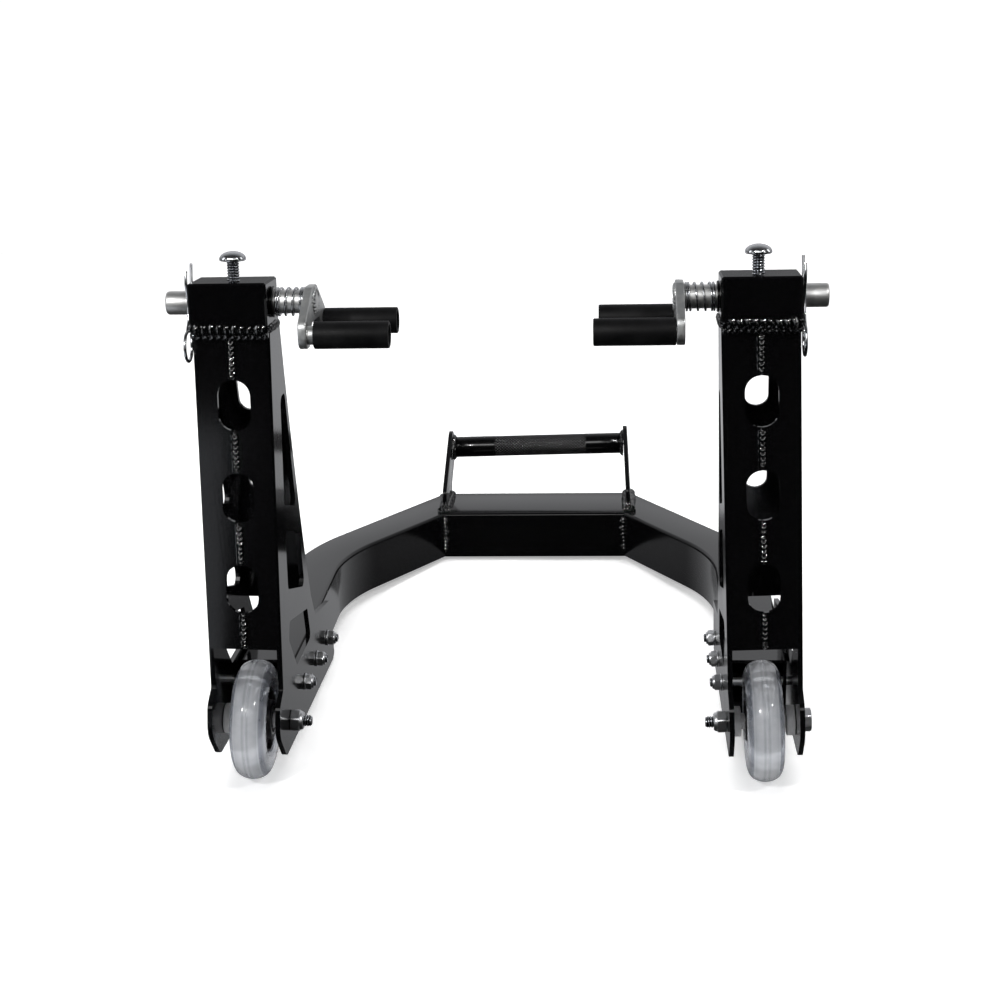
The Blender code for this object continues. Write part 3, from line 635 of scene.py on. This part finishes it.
def knurled_bar():
    low, high, r, n = -93.6, 95.7, 11.4, 176
    k0, k1 = low + (high - low) * 0.245, low + (high - low) * 0.785
    xs = [low, low + 0.6, -65, k0 - 1.2, k0 - 0.6]
    steps = int((k1 - k0) / 0.40)
    xs += [k0 + (k1 - k0) * i / steps for i in range(steps + 1)] + [k1 + 0.6, k1 + 1.2, 70, high - 0.6, high]
    bm = bmesh.new()
    ridge_highlight_layer = bm.verts.layers.float.new("ridge_highlight")
    rows = []
    for i, x in enumerate(xs):
        line = []
        for k in range(n):
            tone = 0.0
            u = k / n
            rr = r if 0 < i < len(xs) - 1 else r - 0.6
            if k0 <= x <= k1:
                fade = min(1.0, (x - k0) / 1.0, (k1 - x) / 1.0)
                p = (22 * u + x / 3.5) % 1.0
                q = (22 * u - x / 3.5) % 1.0
                ridge = min(abs(2 * p - 1), abs(2 * q - 1))
                rr = r - 0.75 * fade + 0.75 * fade * min(1.0, 1.25 * ridge)
                # painted highlight: the higher a vertex sits on a ridge, the paler the colour it gets
                tone = max(0.0, ridge - 0.25) / 0.75 * fade
            z = 108.4 + 3.6 * (x + 94.2) / 191.1
            line.append(bm.verts.new((x, 580.0 + rr * math.cos(2 * math.pi * u), z + rr * math.sin(2 * math.pi * u))))
            line[-1][ridge_highlight_layer] = tone
        rows.append(line)
    for p, q in zip(rows, rows[1:]):
        for k in range(n):
            j = (k + 1) % n
            bm.faces.new((p[k], q[k], q[j], p[j]))
    bm.faces.new(rows[0])
    bm.faces.new(list(reversed(rows[-1])))
    return bm


put("knurled_handle", knurled_bar(), stance("r"), "frame", KNURL, ["handle_bar"], 60)

# --------------------------------------------------------------------------- welds
for n, t in enumerate("rl"):
    U, S, A, B = upright(t), stance(t), arms(t), bracket_frame(t)
    spans = [(334.5, 297.2), (255.8, 222.2), (180.8, 145.6), (104.2, 74.2)]
    shoulder = 3.1 if t == "l" else -3.1
    for k, (hi, lo) in enumerate(spans):
        zs = np.linspace(hi, lo, 8)
        line = [Vector((0, front_y(z) - 0.05, z)) for z in zs]
        put(f"seam_front_{k + 1}_{t}", weld(line, [(0, -1, 0.09)] * 8, 4.6, 2.6, 4.1, 10 * n + k, blob=0.9 if k == 3 else 0.25), U, "frame", WELD)
        edge = [Vector((shoulder + 0.25 * math.sin(0.9 * z), front_y(z) - 0.1, z)) for z in np.linspace(hi - 1, lo + 1, 14)]
        put(f"seam_edge_{k + 1}_{t}", sweep(edge, 0.5, 8), U, "frame", WELD)
    rear_spans = [(334.0, 302.4), (260.4, 227.4), (185.4, 151.0), (108.6, 79.0)]
    for k, (hi, lo) in enumerate(rear_spans):
        line = [rear_point(q) for q in np.linspace(337 - hi, 337 - lo, 6)]
        norm = [Vector((0, 1, 0.4 + 0.0006 * q)) for q in np.linspace(337 - hi, 337 - lo, 6)]
        put(f"seam_rear_{k + 1}_{t}", weld([(0, p.x + 0.05, p.y) for p in line], norm, 5.4, 1.7, 3.3, 40 + 10 * n + k), U, "frame", WELD)
    # block to upright: two rows of beads in front over a filler pass, one row round the other sides
    x0, x1 = 170.6, 228.6
    pts, nrm = straight((x0 + 0.5, -65.8, 336.6), (x1 + 1.0, -65.8, 336.6), (0, -0.7, -0.7), 8)
    put("block_weld_filler_" + t, weld(pts, nrm, 9.5, 1.6, 3.4, 3 + n, 2.0), S, "frame", WELD)
    pts, nrm = straight((x0 - 0.6, -67.8, 337.4), (x1 + 1.8, -67.8, 337.4), (0, -0.93, -0.36), 12)
    put("block_weld_front_a_" + t, weld(pts, nrm, 10.4, 4.0, 5.8, 5 + n, 2.6, lean=0.75, blob=0.3), S, "frame", WELD)
    pts, nrm = straight((x1 + 2.4, -64.0, 332.0), (x0 + 0.2, -64.0, 332.0), (0, -0.95, -0.3), 12)
    put("block_weld_front_b_" + t, weld(pts, nrm, 6.4, 2.8, 5.2, 7 + n, 2.0, lean=0.75, blob=0.4), S, "frame", WELD)
    pts, nrm = straight((x0 - 0.4, -66, 336.6), (x0 - 0.4, -24, 336.6), (-1, 0, -0.2), 6)
    put("block_weld_inner_" + t, weld(pts, nrm, 7.0, 2.4, 3.6, 9 + n, 1.5), S, "frame", WELD)
    pts, nrm = straight((x1 + 2.2, -66, 336.6), (x1 + 2.2, -24, 336.6), (0.8, 0, 0.6), 6)
    put("block_weld_outer_" + t, weld(pts, nrm, 5.6, 2.0, 3.6, 11 + n, 1.2), S, "frame", WELD)
    pts, nrm = straight((x0, -22.4, 336.8), (x1 + 1.5, -22.4, 336.8), (0, 0.75, 0.66), 8)
    put("block_weld_rear_" + t, weld(pts, nrm, 7.5, 2.6, 3.6, 13 + n, 1.5), S, "frame", WELD)
    # seam of the diagonal leg and the rear tube: front, top, back, underneath
    m = (a + b) / 2
    front = [Vector((a.x, -0.4, z)) for z in (-46.5, -35, -25, -15, -4)]
    put("seam_weld_front_" + t, weld(front, [(0.25, -1, 0)] * 5, 8.5, 1.9, 4.2, 15 + n), A, "frame", WELD)
    top = [Vector((*(a + (b - a) * q), 0.05)) for q in (0.05, 0.35, 0.65, 0.95)]
    put("seam_weld_top_" + t, weld(top, [(0, 0, 1)] * 4, 8.0, 1.8, 4.2, 17 + n), A, "frame", WELD)
    low = [Vector((*(a + (b - a) * q), -TUBE_H - 0.05)) for q in (0.05, 0.2, 0.35, 0.5)]
    put("seam_weld_under_" + t, weld(low, [(0, 0, -1)] * 4, 7.0, 1.3, 4.2, 19 + n), A, "frame", WELD)
    back = [Vector((b.x, REAR_DEPTH + 0.2, z)) for z in (-42, -30, -20, -10, -4)]
    put("seam_weld_back_" + t, weld(back, [(0.4, 1, 0)] * 5, 8.0, 1.8, 4.2, 21 + n), A, "frame", WELD)
    # bracket feet and bar ends
    for k, (x, dx) in enumerate(((98.6, 1), (91.9, -1))):
        foot = [Vector((x, y, 55.04 + (y - 484.5) * math.tan(ARM_RISE) + 1.4)) for y in (494, 510, 530, 545, 560)]
        put(f"foot_weld_{k + 1}_{t}", weld(foot, [(dx * 0.8, 0, 1)] * 5, 8.0, 3.6, 4.6, 23 + 3 * k + n, 2.0), B, "frame", WELD)
    nose = [Vector((x, 491.6, 57.2)) for x in (88.0, 92.5, 98.0, 102.5)]
    put("foot_nose_" + t, weld(nose, [(0, -0.8, 0.8)] * 4, 9.0, 4.2, 4.0, 29 + n, 2.0, blob=0.3), B, "frame", WELD)
    heel = [Vector((95.2, 491.2, z)) for z in (54.5, 60.0, 66.0)]
    put("foot_rise_" + t, weld(heel, [(0, -1, 0)] * 3, 6.0, 2.6, 3.6, 35 + n, 1.5), B, "frame", WELD)
    end, mid = (95.6, 112.0) if t == "r" else (93.5, 108.4)
    circle = [Vector((end - 0.9, 580 + 12.2 * math.cos(q), mid + 12.2 * math.sin(q))) for q in np.linspace(0, 2 * math.pi, 29)]
    out = [Vector((-1.0, 0.8 * math.cos(q), 0.8 * math.sin(q))) for q in np.linspace(0, 2 * math.pi, 29)]
    put("bar_weld_" + t, weld(circle, out, 5.2, 1.6, 4.2, 31 + n, 1.2), S, "frame", WELD)

# --------------------------------------------------------------------------- head hardware
for n, t in enumerate("rl"):
    P, S, U = pin(t), stance(t), upright(t)
    up = Matrix.Translation((198.5, PIN_Y, 0)) @ Matrix.Rotation(math.radians(-90), 4, "Y")
    h = 387.0
    dome = [(h + 7.2, 0), (h + 7.15, 2.0), (h + 6.75, 4.4), (h + 5.9, 6.7), (h + 4.7, 8.5), (h + 3.2, 9.7), (h + 1.8, 10.2), (h + 0.9, 10.25), (h + 0.25, 9.95), (h, 9.3), (h, 5.0), (h - 1.2, 4.6), (h - 1.2, 0)]
    put("lock_screw_fine_" + t, lathe(dome, 64), S @ up, "screw_" + t, ZINC, ["lock_screw_" + t])
    put("lock_screw_thread_" + t, threaded(h - 0.8, 364.8, 4.98, 2.1, 36, 1.1), S @ up, "screw_" + t, THREAD)

    pin_profile = [(250.9, 0), (250.9, 7.5), (250.7, 8.1), (250.2, 8.6), (249.5, 8.9), (248.8, 9.0), (235.4, 9.0), (235.2, 8.92), (230.6, 8.92), (230.4, 9.0), (136.6, 9.0), (135.9, 8.4), (135.1, 7.6), (135.1, 0)]
    put("pin_fine_" + t, lathe(pin_profile, 72), P, "fork_" + t, PIN, ["slide_pin_" + t])

    fork = [plate([FORK_OUTLINE, ring(0, 0, 9.3, 48)], 136.6, 142.9, 0.9, 3)]
    for y in (-38.5, 38.5):
        fork.append(lathe([(138, 0), (138, 7.0), (84.2, 7.0), (82.6, 6.2), (82, 5.2), (82, 0)], 40, y, -20.5))
        bead = [Vector((136.2, y + 7.4 * math.cos(q), -20.5 + 7.4 * math.sin(q))) for q in np.linspace(0, 2 * math.pi, 21)]
        out = [Vector((-1.0, 0.7 * math.cos(q), 0.7 * math.sin(q))) for q in np.linspace(0, 2 * math.pi, 21)]
    put("fork_fine_" + t, join(*fork), P, "fork_" + t, FORK, ["fork_" + t])
    bead = [Vector((136.3, 9.1 * math.cos(q), 9.1 * math.sin(q))) for q in np.linspace(0, 2 * math.pi, 25)]
    out = [Vector((-1.0, 0.4 * math.cos(q), 0.4 * math.sin(q))) for q in np.linspace(0, 2 * math.pi, 25)]
    put("pin_weld_" + t, weld(bead, out, 4.6, 1.5, 3.0, 33 + n, 0.6), P, "fork_" + t, FORK)

    for end, y, x0 in (("front", -38.5, 75.5), ("rear", 38.5, 78.5)):
        r, q = 10.25, 7.3
        x1 = 136.3 if end == "rear" or t == "r" else 131.8
        sleeve = [(x1, q + 0.4), (x1, r - 0.7), (x1 - 0.25, r - 0.2), (x1 - 0.8, r), (x0 + 0.9, r), (x0 + 0.3, r - 0.25), (x0, r - 0.8), (x0, q + 0.6), (x0 + 0.25, q + 0.15), (x0 + 0.8, q), (x1 - 0.5, q)]
        put(f"sleeve_{end}_fine_{t}", lathe(sleeve, 56, y, -20.5), P, "fork_" + t, RUBBER, [f"sleeve_{end}_{t}"])

    # spring: closed, ground coils at both ends and three open ones, a little finer than the frame's coil
    w, r = 0.85, 10.35
    start, end = 142.9 + 0.3 + w, 169.9 - 0.6 - 2.0 - w
    closed, turns, per = 2 * w + 0.12, 6.0, 40
    rest = (end - start - 3 * closed) / 3
    pts = []
    for k in range(int(turns * per) + 1):
        q = k / per
        x = start + closed * min(q, 1.5) + rest * min(max(q - 1.5, 0), 3) + closed * max(q - 4.5, 0)
        pts.append((x, r * math.cos(2 * math.pi * q), r * math.sin(2 * math.pi * q)))
    spring = put("spring_fine_" + t, sweep(pts, w, 12), P, "swivel_" + t, ZINC, ["spring_" + t])
    s = 1 if t == "r" else -1
    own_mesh(spring)
    washer = [(169.6, 9.4), (169.6, 11.4), (169.3, 11.8), (167.9, 11.8), (167.6, 11.4), (167.6, 9.4)]
    put("washer_fine_" + t, lathe(washer, 56), P, "swivel_" + t, BLACK, ["spring_washer_" + t])

    lean = math.radians(11.0)
    leg = Vector((math.sin(lean), math.cos(lean)))
    clip = [leg * 30, leg * 20, leg * 11, leg * 0, leg * -11, leg * -22]
    centre, cr = Vector((-18.5, -31.0)), 11.3
    for k in range(15):
        q = math.radians(8 - 19.6 * k)
        clip.append(centre + cr * Vector((math.cos(q), math.sin(q))))
    clip += [Vector(p) for p in ((-14.4, -14.0), (-12.0, -8.5), (-10.8, -4.0), (-10.6, 0.0), (-11.0, 4.5), (-12.6, 9.5), (-14.2, 15.0), (-14.2, 20.0), (-12.5, 25.5))]
    put("r_clip_fine_" + t, sweep(spline([(232.2, p.x, p.y) for p in clip], 5), 1.2, 12), P, "fork_" + t, ZINC, ["r_clip_" + t])

# --------------------------------------------------------------------------- wheels and fasteners
for n, t in enumerate("rl"):
    U = upright(t)
    half = [(14.98, 34.6), (14.95, 36.2), (14.7, 38.3), (14.1, 40.6), (13.2, 42.8), (12.0, 44.8), (10.9, 46.1), (10.2, 46.7), (9.8, 47.0), (9.2, 47.3), (8.0, 47.95), (6.5, 48.65),
            (5.0, 49.15), (3.4, 49.5), (1.9, 49.66), (0.95, 49.70), (0.7, 49.66), (0.5, 49.97), (0.2, 49.99)]
    crown = half + [(-x, r) for x, r in reversed(half)]
    tyre = [(11.6, 27.35), (12.2, 27.6), (12.9, 28.9), (13.4, 30.2), (13.5, 30.8), (13.8, 31.2), (14.5, 32.8), *crown,
            (-14.5, 32.8), (-13.8, 31.2), (-13.5, 30.8), (-13.4, 30.2), (-12.9, 28.9), (-12.2, 27.6), (-11.6, 27.35)]
    ringed = lathe(tyre, 128)
    band = ringed.verts.layers.float.new("band")
    # painted highlight: the band is pale at the crown centre and at a narrow ring near 10 mm out; it is darker over
    # the shoulders and at a thin mould line near the middle
    for v in ringed.verts:
        across = abs(v.co.x)
        band_tone_and_highlight = np.interp(across, (0.0, 0.8, 1.4, 3.0, 7.0, 9.4, 9.9, 10.6, 12.5, 13.6, 14.4, 15.0), (1.0, 0.9, 0.35, 0.95, 0.85, 0.6, 1.0, 0.15, 0.1, 0.25, 0.9, 0.8))
        v[band] = float(band_tone_and_highlight)
    put("tyre_fine_" + t, ringed, U, "wheel_" + t, TYRE, ["tyre_" + t], 40)
    hub = [(15.0, 13.3), (15.0, 15.6), (14.4, 16.4), (6.5, 17.3), (5.2, 18.2), (5.0, 19.0), (5.0, 22.6), (5.6, 23.6), (11.2, 24.8), (12.0, 25.4), (12.0, 26.5), (11.5, 27.1),
           (-11.5, 27.1), (-12.0, 26.5), (-12.0, 25.4), (-11.2, 24.8), (-5.6, 23.6), (-5.0, 22.6), (-5.0, 19.0), (-5.2, 18.2), (-6.5, 17.3), (-14.4, 16.4), (-15.0, 15.6), (-15.0, 13.3), (-6.7, 13.3), (-6.7, 9.0), (6.7, 9.0), (6.7, 13.3)]
    pieces = [lathe(hub, 72)]
    for k in range(6):
        q = math.pi / 3 * k + 0.3
        for x0, x1 in ((4.6, 12.0), (-12.0, -4.6)):
            rib = bmesh.new()
            bmesh.ops.create_cube(rib, size=1.0)
            bmesh.ops.scale(rib, vec=(x1 - x0, 2.2, 9.0), verts=rib.verts)
            bmesh.ops.bevel(rib, geom=rib.edges[:], offset=0.4, segments=2, affect="EDGES")
            bmesh.ops.transform(rib, matrix=Matrix.Rotation(q, 4, "X") @ Matrix.Translation(((x0 + x1) / 2, 0, 20.6)), verts=rib.verts)
            pieces.append(rib)
    put("hub_fine_" + t, join(*pieces), U, "wheel_" + t, NYLON, ["hub_" + t])
    for name, s in (("outer", 1), ("inner", -1)):
        races = [lathe([(s * 15.0, 10.9), (s * 15.0, 12.6), (s * 14.6, 13.0), (s * 7.4, 13.0), (s * 7.0, 12.6), (s * 7.0, 10.9)], 64),
                 lathe([(s * 15.0, 5.4), (s * 15.0, 7.4), (s * 7.0, 7.4), (s * 7.0, 5.4)], 48)]
        put(f"races_{name}_{t}", join(*races), U, "wheel_" + t, STEEL, [f"bearing_{name}_{t}"])
        shield = lathe([(s * 14.5, 7.6), (s * 14.6, 9.0), (s * 14.5, 10.7), (s * 13.9, 10.7), (s * 13.9, 7.6)], 48)
        put(f"shield_{name}_{t}", shield, U, "wheel_" + t, RUBBER)
        x0, x1 = 18.4, 25.4
        spacer = [(s * x1, 5.35), (s * x1, 11.9), (s * (x1 - 0.3), 12.4), (s * (x1 - 0.8), 12.5), (s * (x0 + 0.9), 12.5), (s * (x0 + 0.3), 12.3), (s * x0, 11.8), (s * x0, 6.9), (s * (x0 - 0.3), 6.55),
                  (s * 15.8, 6.5), (s * 15.4, 6.3), (s * 15.3, 5.9), (s * 15.3, 5.35)]
        put(f"spacer_{name}_fine_{t}", lathe(spacer, 64), U, "frame", DULL, [f"spacer_{name}_{t}"])

    f = FACE
    head = join(lathe([(f, 0), (f, 10.6), (f + 0.3, 10.8), (f + 1.5, 10.8), (f + 1.8, 10.5), (f + 1.8, 0)], 56),
                hexagon(f + 1.6, f + 8.8, 17.0, phase=0.35, both=False),
                lathe([(f + 1.0, 0), (f + 1.0, 4.98), (-f - 9.5, 4.98), (-f - 9.5, 0)], 40))
    put("axle_bolt_fine_" + t, head, U, "frame", FASTENER, ["axle_bolt_" + t])
    put("axle_thread_" + t, threaded(-f - 9.0, -f - 17.2, 4.98, 2.1, 36, 1.1), U, "frame", THREAD)
    nut = join(hexagon(-f - 7.6, -f, 17.0, bore=5.05, phase=0.62),
               lathe([(-f - 7.4, 5.1), (-f - 7.4, 7.9), (-f - 9.2, 7.6), (-f - 10.2, 6.9), (-f - 10.5, 6.2), (-f - 10.5, 5.1)], 48))
    put("axle_nut_fine_" + t, nut, U, "frame", FASTENER, ["axle_nut_" + t])
    for k, y in enumerate(FRAME_BOLTS, 1):
        z = FRAME_BOLT_Z
        turn = 0.2 + 0.9 * k + 0.4 * n
        bolt = join(lathe([(f, 0), (f, 8.0), (f + 0.2, 8.2), (f + 1.2, 8.2), (f + 1.4, 8.0), (f + 1.4, 0)], 48, y, z),
                    hexagon(f + 1.2, f + 5.3, 13.0, y, z, phase=turn, chamfer=0.7, both=False),
                    lathe([(f + 1.0, 0), (f + 1.0, 3.98), (-f - 7.5, 3.98), (-f - 7.5, 0)], 32, y, z))
        tail = threaded(-f - 7.0, -f - 10.0, 3.98, 1.25, 32, 0.6)
        bmesh.ops.translate(tail, vec=(0, y, z), verts=tail.verts)
        put(f"frame_thread_{k}_{t}", tail, U, "frame", THREAD)
        put(f"frame_bolt_{k}_fine_{t}", bolt, U, "frame", FASTENER, [f"frame_bolt_{k}_{t}"])
        nut = join(lathe([(-f - 1.2, 4.1), (-f - 1.2, 7.1), (-f - 1.0, 7.3), (-f - 0.2, 7.3), (-f, 7.1), (-f, 4.1)], 48, y, z),
                   hexagon(-f - 6.4, -f - 1.2, 12.4, y, z, bore=4.05, phase=turn + 0.5, chamfer=0.9),
                   lathe([(-f - 6.2, 4.1), (-f - 6.2, 5.7), (-f - 7.4, 5.5), (-f - 8.0, 5.0), (-f - 8.0, 4.1)], 40, y, z))
        put(f"frame_nut_{k}_fine_{t}", nut, U, "frame", FASTENER, [f"frame_nut_{k}_{t}"])

# --------------------------------------------------------------------------- studio
def stage_mesh(name, profile, look):
    """A round floor or backdrop: (radius, height) turned about the vertical."""
    bm = bmesh.new()
    rings = [[bm.verts.new((r * math.cos(2 * math.pi * k / 64), r * math.sin(2 * math.pi * k / 64), z)) for k in range(64)] if r else [bm.verts.new((0, 0, z))] for r, z in profile]
    for p, q in zip(rings, rings[1:]):
        for k in range(64):
            j = (k + 1) % 64
            bm.faces.new((p[0], q[k], q[j]) if len(p) == 1 else (p[k], q[k], q[j], p[j]))
    mesh = bpy.data.meshes.new(name)
    bm.to_mesh(mesh)
    bm.free()
    mesh.shade_smooth()
    mesh.materials.append(look)
    obj = bpy.data.objects.new(name, mesh)
    bpy.context.scene.collection.objects.link(obj)
    obj.visible_glossy = False
    return obj


PALE, _n, _l, _s = tree("pale_floor")
_s.inputs["Specular IOR Level"].default_value = 0.15
_l.new(ramp(_n, _l, noise(_n, _l, coords(_n, _l), 3.0, 2.0), (0.90, 0.90, 0.90), (0.92, 0.92, 0.92)), _s.inputs["Base Color"])
_s.inputs["Roughness"].default_value = 0.8
_s.inputs["Emission Color"].default_value = (1, 1, 1, 1)
_s.inputs["Emission Strength"].default_value = 0.40
stage_mesh("studio_floor", [(0, 0.0), (2.2, 0.0)], PALE)
GLOW, _n, _l, _s = tree("pale_backdrop")
_s.inputs["Base Color"].default_value = (0, 0, 0, 1)
_s.inputs["Specular IOR Level"].default_value = 0.0
_l.new(ramp(_n, _l, noise(_n, _l, coords(_n, _l), 0.4, 1.0), (0.97, 0.97, 0.97), (1.0, 1.0, 1.0)), _s.inputs["Emission Color"])
_s.inputs["Emission Strength"].default_value = 1.05
wall = stage_mesh("studio_backdrop", [(2.19, -0.004), (2.7, 0.03), (3.3, 0.16), (3.9, 0.6), (4.4, 1.5), (4.6, 3.0), (4.0, 5.0), (2.0, 6.4), (0.01, 6.8)], GLOW)
wall.visible_diffuse = wall.visible_shadow = False

world = bpy.context.scene.world or bpy.data.worlds.new("studio")
bpy.context.scene.world = world
world.use_nodes = True
wn, wl = world.node_tree.nodes, world.node_tree.links
back = next(x for x in wn if x.type == "BACKGROUND")
at = wn.new("ShaderNodeTexCoord")
split = wn.new("ShaderNodeSeparateXYZ")
wl.new(at.outputs["Generated"], split.inputs[0])
shade = wn.new("ShaderNodeMapRange")
shade.interpolation_type = "SMOOTHSTEP"
shade.inputs["From Min"].default_value = -0.10
shade.inputs["From Max"].default_value = 0.95
shade.inputs["To Min"].default_value = 0.012
shade.inputs["To Max"].default_value = 0.60
wl.new(split.outputs["Y"], shade.inputs["Value"])
level_ramp = wn.new("ShaderNodeMapRange")
level_ramp.inputs["From Min"].default_value = -1.0
level_ramp.inputs["From Max"].default_value = 1.0
wl.new(split.outputs["Z"], level_ramp.inputs["Value"])
height = wn.new("ShaderNodeValToRGB")
stops = [(0.0, 0.10), (0.25, 0.30), (0.36, 1.0), (0.45, 1.0), (0.485, 0.26), (0.53, 0.26), (0.575, 0.95), (0.70, 0.95), (1.0, 0.6)]
while len(height.color_ramp.elements) < len(stops):
    height.color_ramp.elements.new(0.5)
for e, (where, tone) in zip(height.color_ramp.elements, stops):
    e.position, e.color = where, (tone, tone, tone, 1)
wl.new(level_ramp.outputs["Result"], height.inputs["Fac"])
both = wn.new("ShaderNodeMath")
both.operation = "MULTIPLY"
wl.new(shade.outputs["Result"], both.inputs[0])
wl.new(height.outputs["Color"], both.inputs[1])
wl.new(both.outputs[0], back.inputs["Strength"])
back.inputs["Color"].default_value = (0.96, 0.97, 1.0, 1)


def light(name, at, to, size, power, colour=(1, 1, 1)):
    data = bpy.data.lights.new(name, "AREA")
    data.shape = "RECTANGLE"
    data.size, data.size_y = size
    data.energy = power
    data.color = colour
    obj = bpy.data.objects.new(name, data)
    obj.location = at
    obj.rotation_euler = (Vector(to) - Vector(at)).to_track_quat("-Z", "Y").to_euler()
    obj.visible_camera = False
    bpy.context.scene.collection.objects.link(obj)
    return obj


light("key_overhead", (0.0, 0.3, 3.0), (0, 0, 0.0), (3.4, 3.0), 95).visible_glossy = False
light("sheen_overhead", (0.0, 0.3, 3.0), (0, 0, 0.0), (3.4, 3.0), 48).visible_diffuse = False
light("sheen_front", (0.1, -2.5, 1.7), (0, 0, 0.2), (2.2, 0.7), 7).visible_diffuse = False
light("sheen_left", (-1.7, -1.5, 0.7), (0, 0, 0.15), (0.5, 0.9), 1.7).visible_diffuse = False
light("sheen_right", (1.7, -1.5, 0.7), (0, 0, 0.15), (0.5, 0.9), 1.4).visible_diffuse = False
light("key_front", (-0.5, -2.6, 2.3), (0, 0, 0.2), (1.6, 0.8), 11)
light("fill_left", (-2.6, -0.6, 1.2), (0, 0, 0.2), (0.8, 1.8), 10, (0.95, 0.97, 1.0))
light("fill_right", (2.8, 0.2, 1.4), (0, 0, 0.2), (0.8, 1.8), 7)
light("sparkle_left", (-1.2, -2.2, 1.9), (0, 0, 0.25), (0.16, 0.16), 26)
light("sparkle_right", (1.6, -1.6, 2.2), (0, 0, 0.25), (0.15, 0.15), 18)
card = light("left_card", (-0.767, -0.89, 0.012), (-0.767, -0.89, 1.0), (0.8, 0.9), 1.6, (0.9, 0.94, 1.0))
card.rotation_euler = (math.pi, 0, math.radians(-11.6))

bpy.context.scene.view_settings.view_transform = "Standard"
bpy.context.scene.view_settings.look = "None"

# --------------------------------------------------------------------------- camera
YAW, PITCH, ROLL = math.radians(-4.05), math.radians(13.58), math.radians(-1.23)
FOCAL_PX, EYE = 1823.0, (98.6, -1421.3, 531.4)
forward = Vector((math.sin(YAW) * math.cos(PITCH), math.cos(YAW) * math.cos(PITCH), -math.sin(PITCH)))
level = Vector((math.cos(YAW), -math.sin(YAW), 0))
above = level.cross(forward)
right_axis = level * math.cos(ROLL) + above * math.sin(ROLL)
up_axis = above * math.cos(ROLL) - level * math.sin(ROLL)
turn = Matrix((right_axis, up_axis, -forward)).transposed()
camera_data = bpy.data.cameras.new("camera")
camera_data.sensor_width = 36.0
camera_data.lens = FOCAL_PX / 1000.0 * 36.0
camera = bpy.data.objects.new("camera", camera_data)
camera.matrix_world = Matrix.Translation(STANCE @ Vector(EYE)) @ (Matrix.Rotation(-LEAN, 3, "X") @ turn).to_4x4()
bpy.context.scene.collection.objects.link(camera)
bpy.context.scene.camera = camera
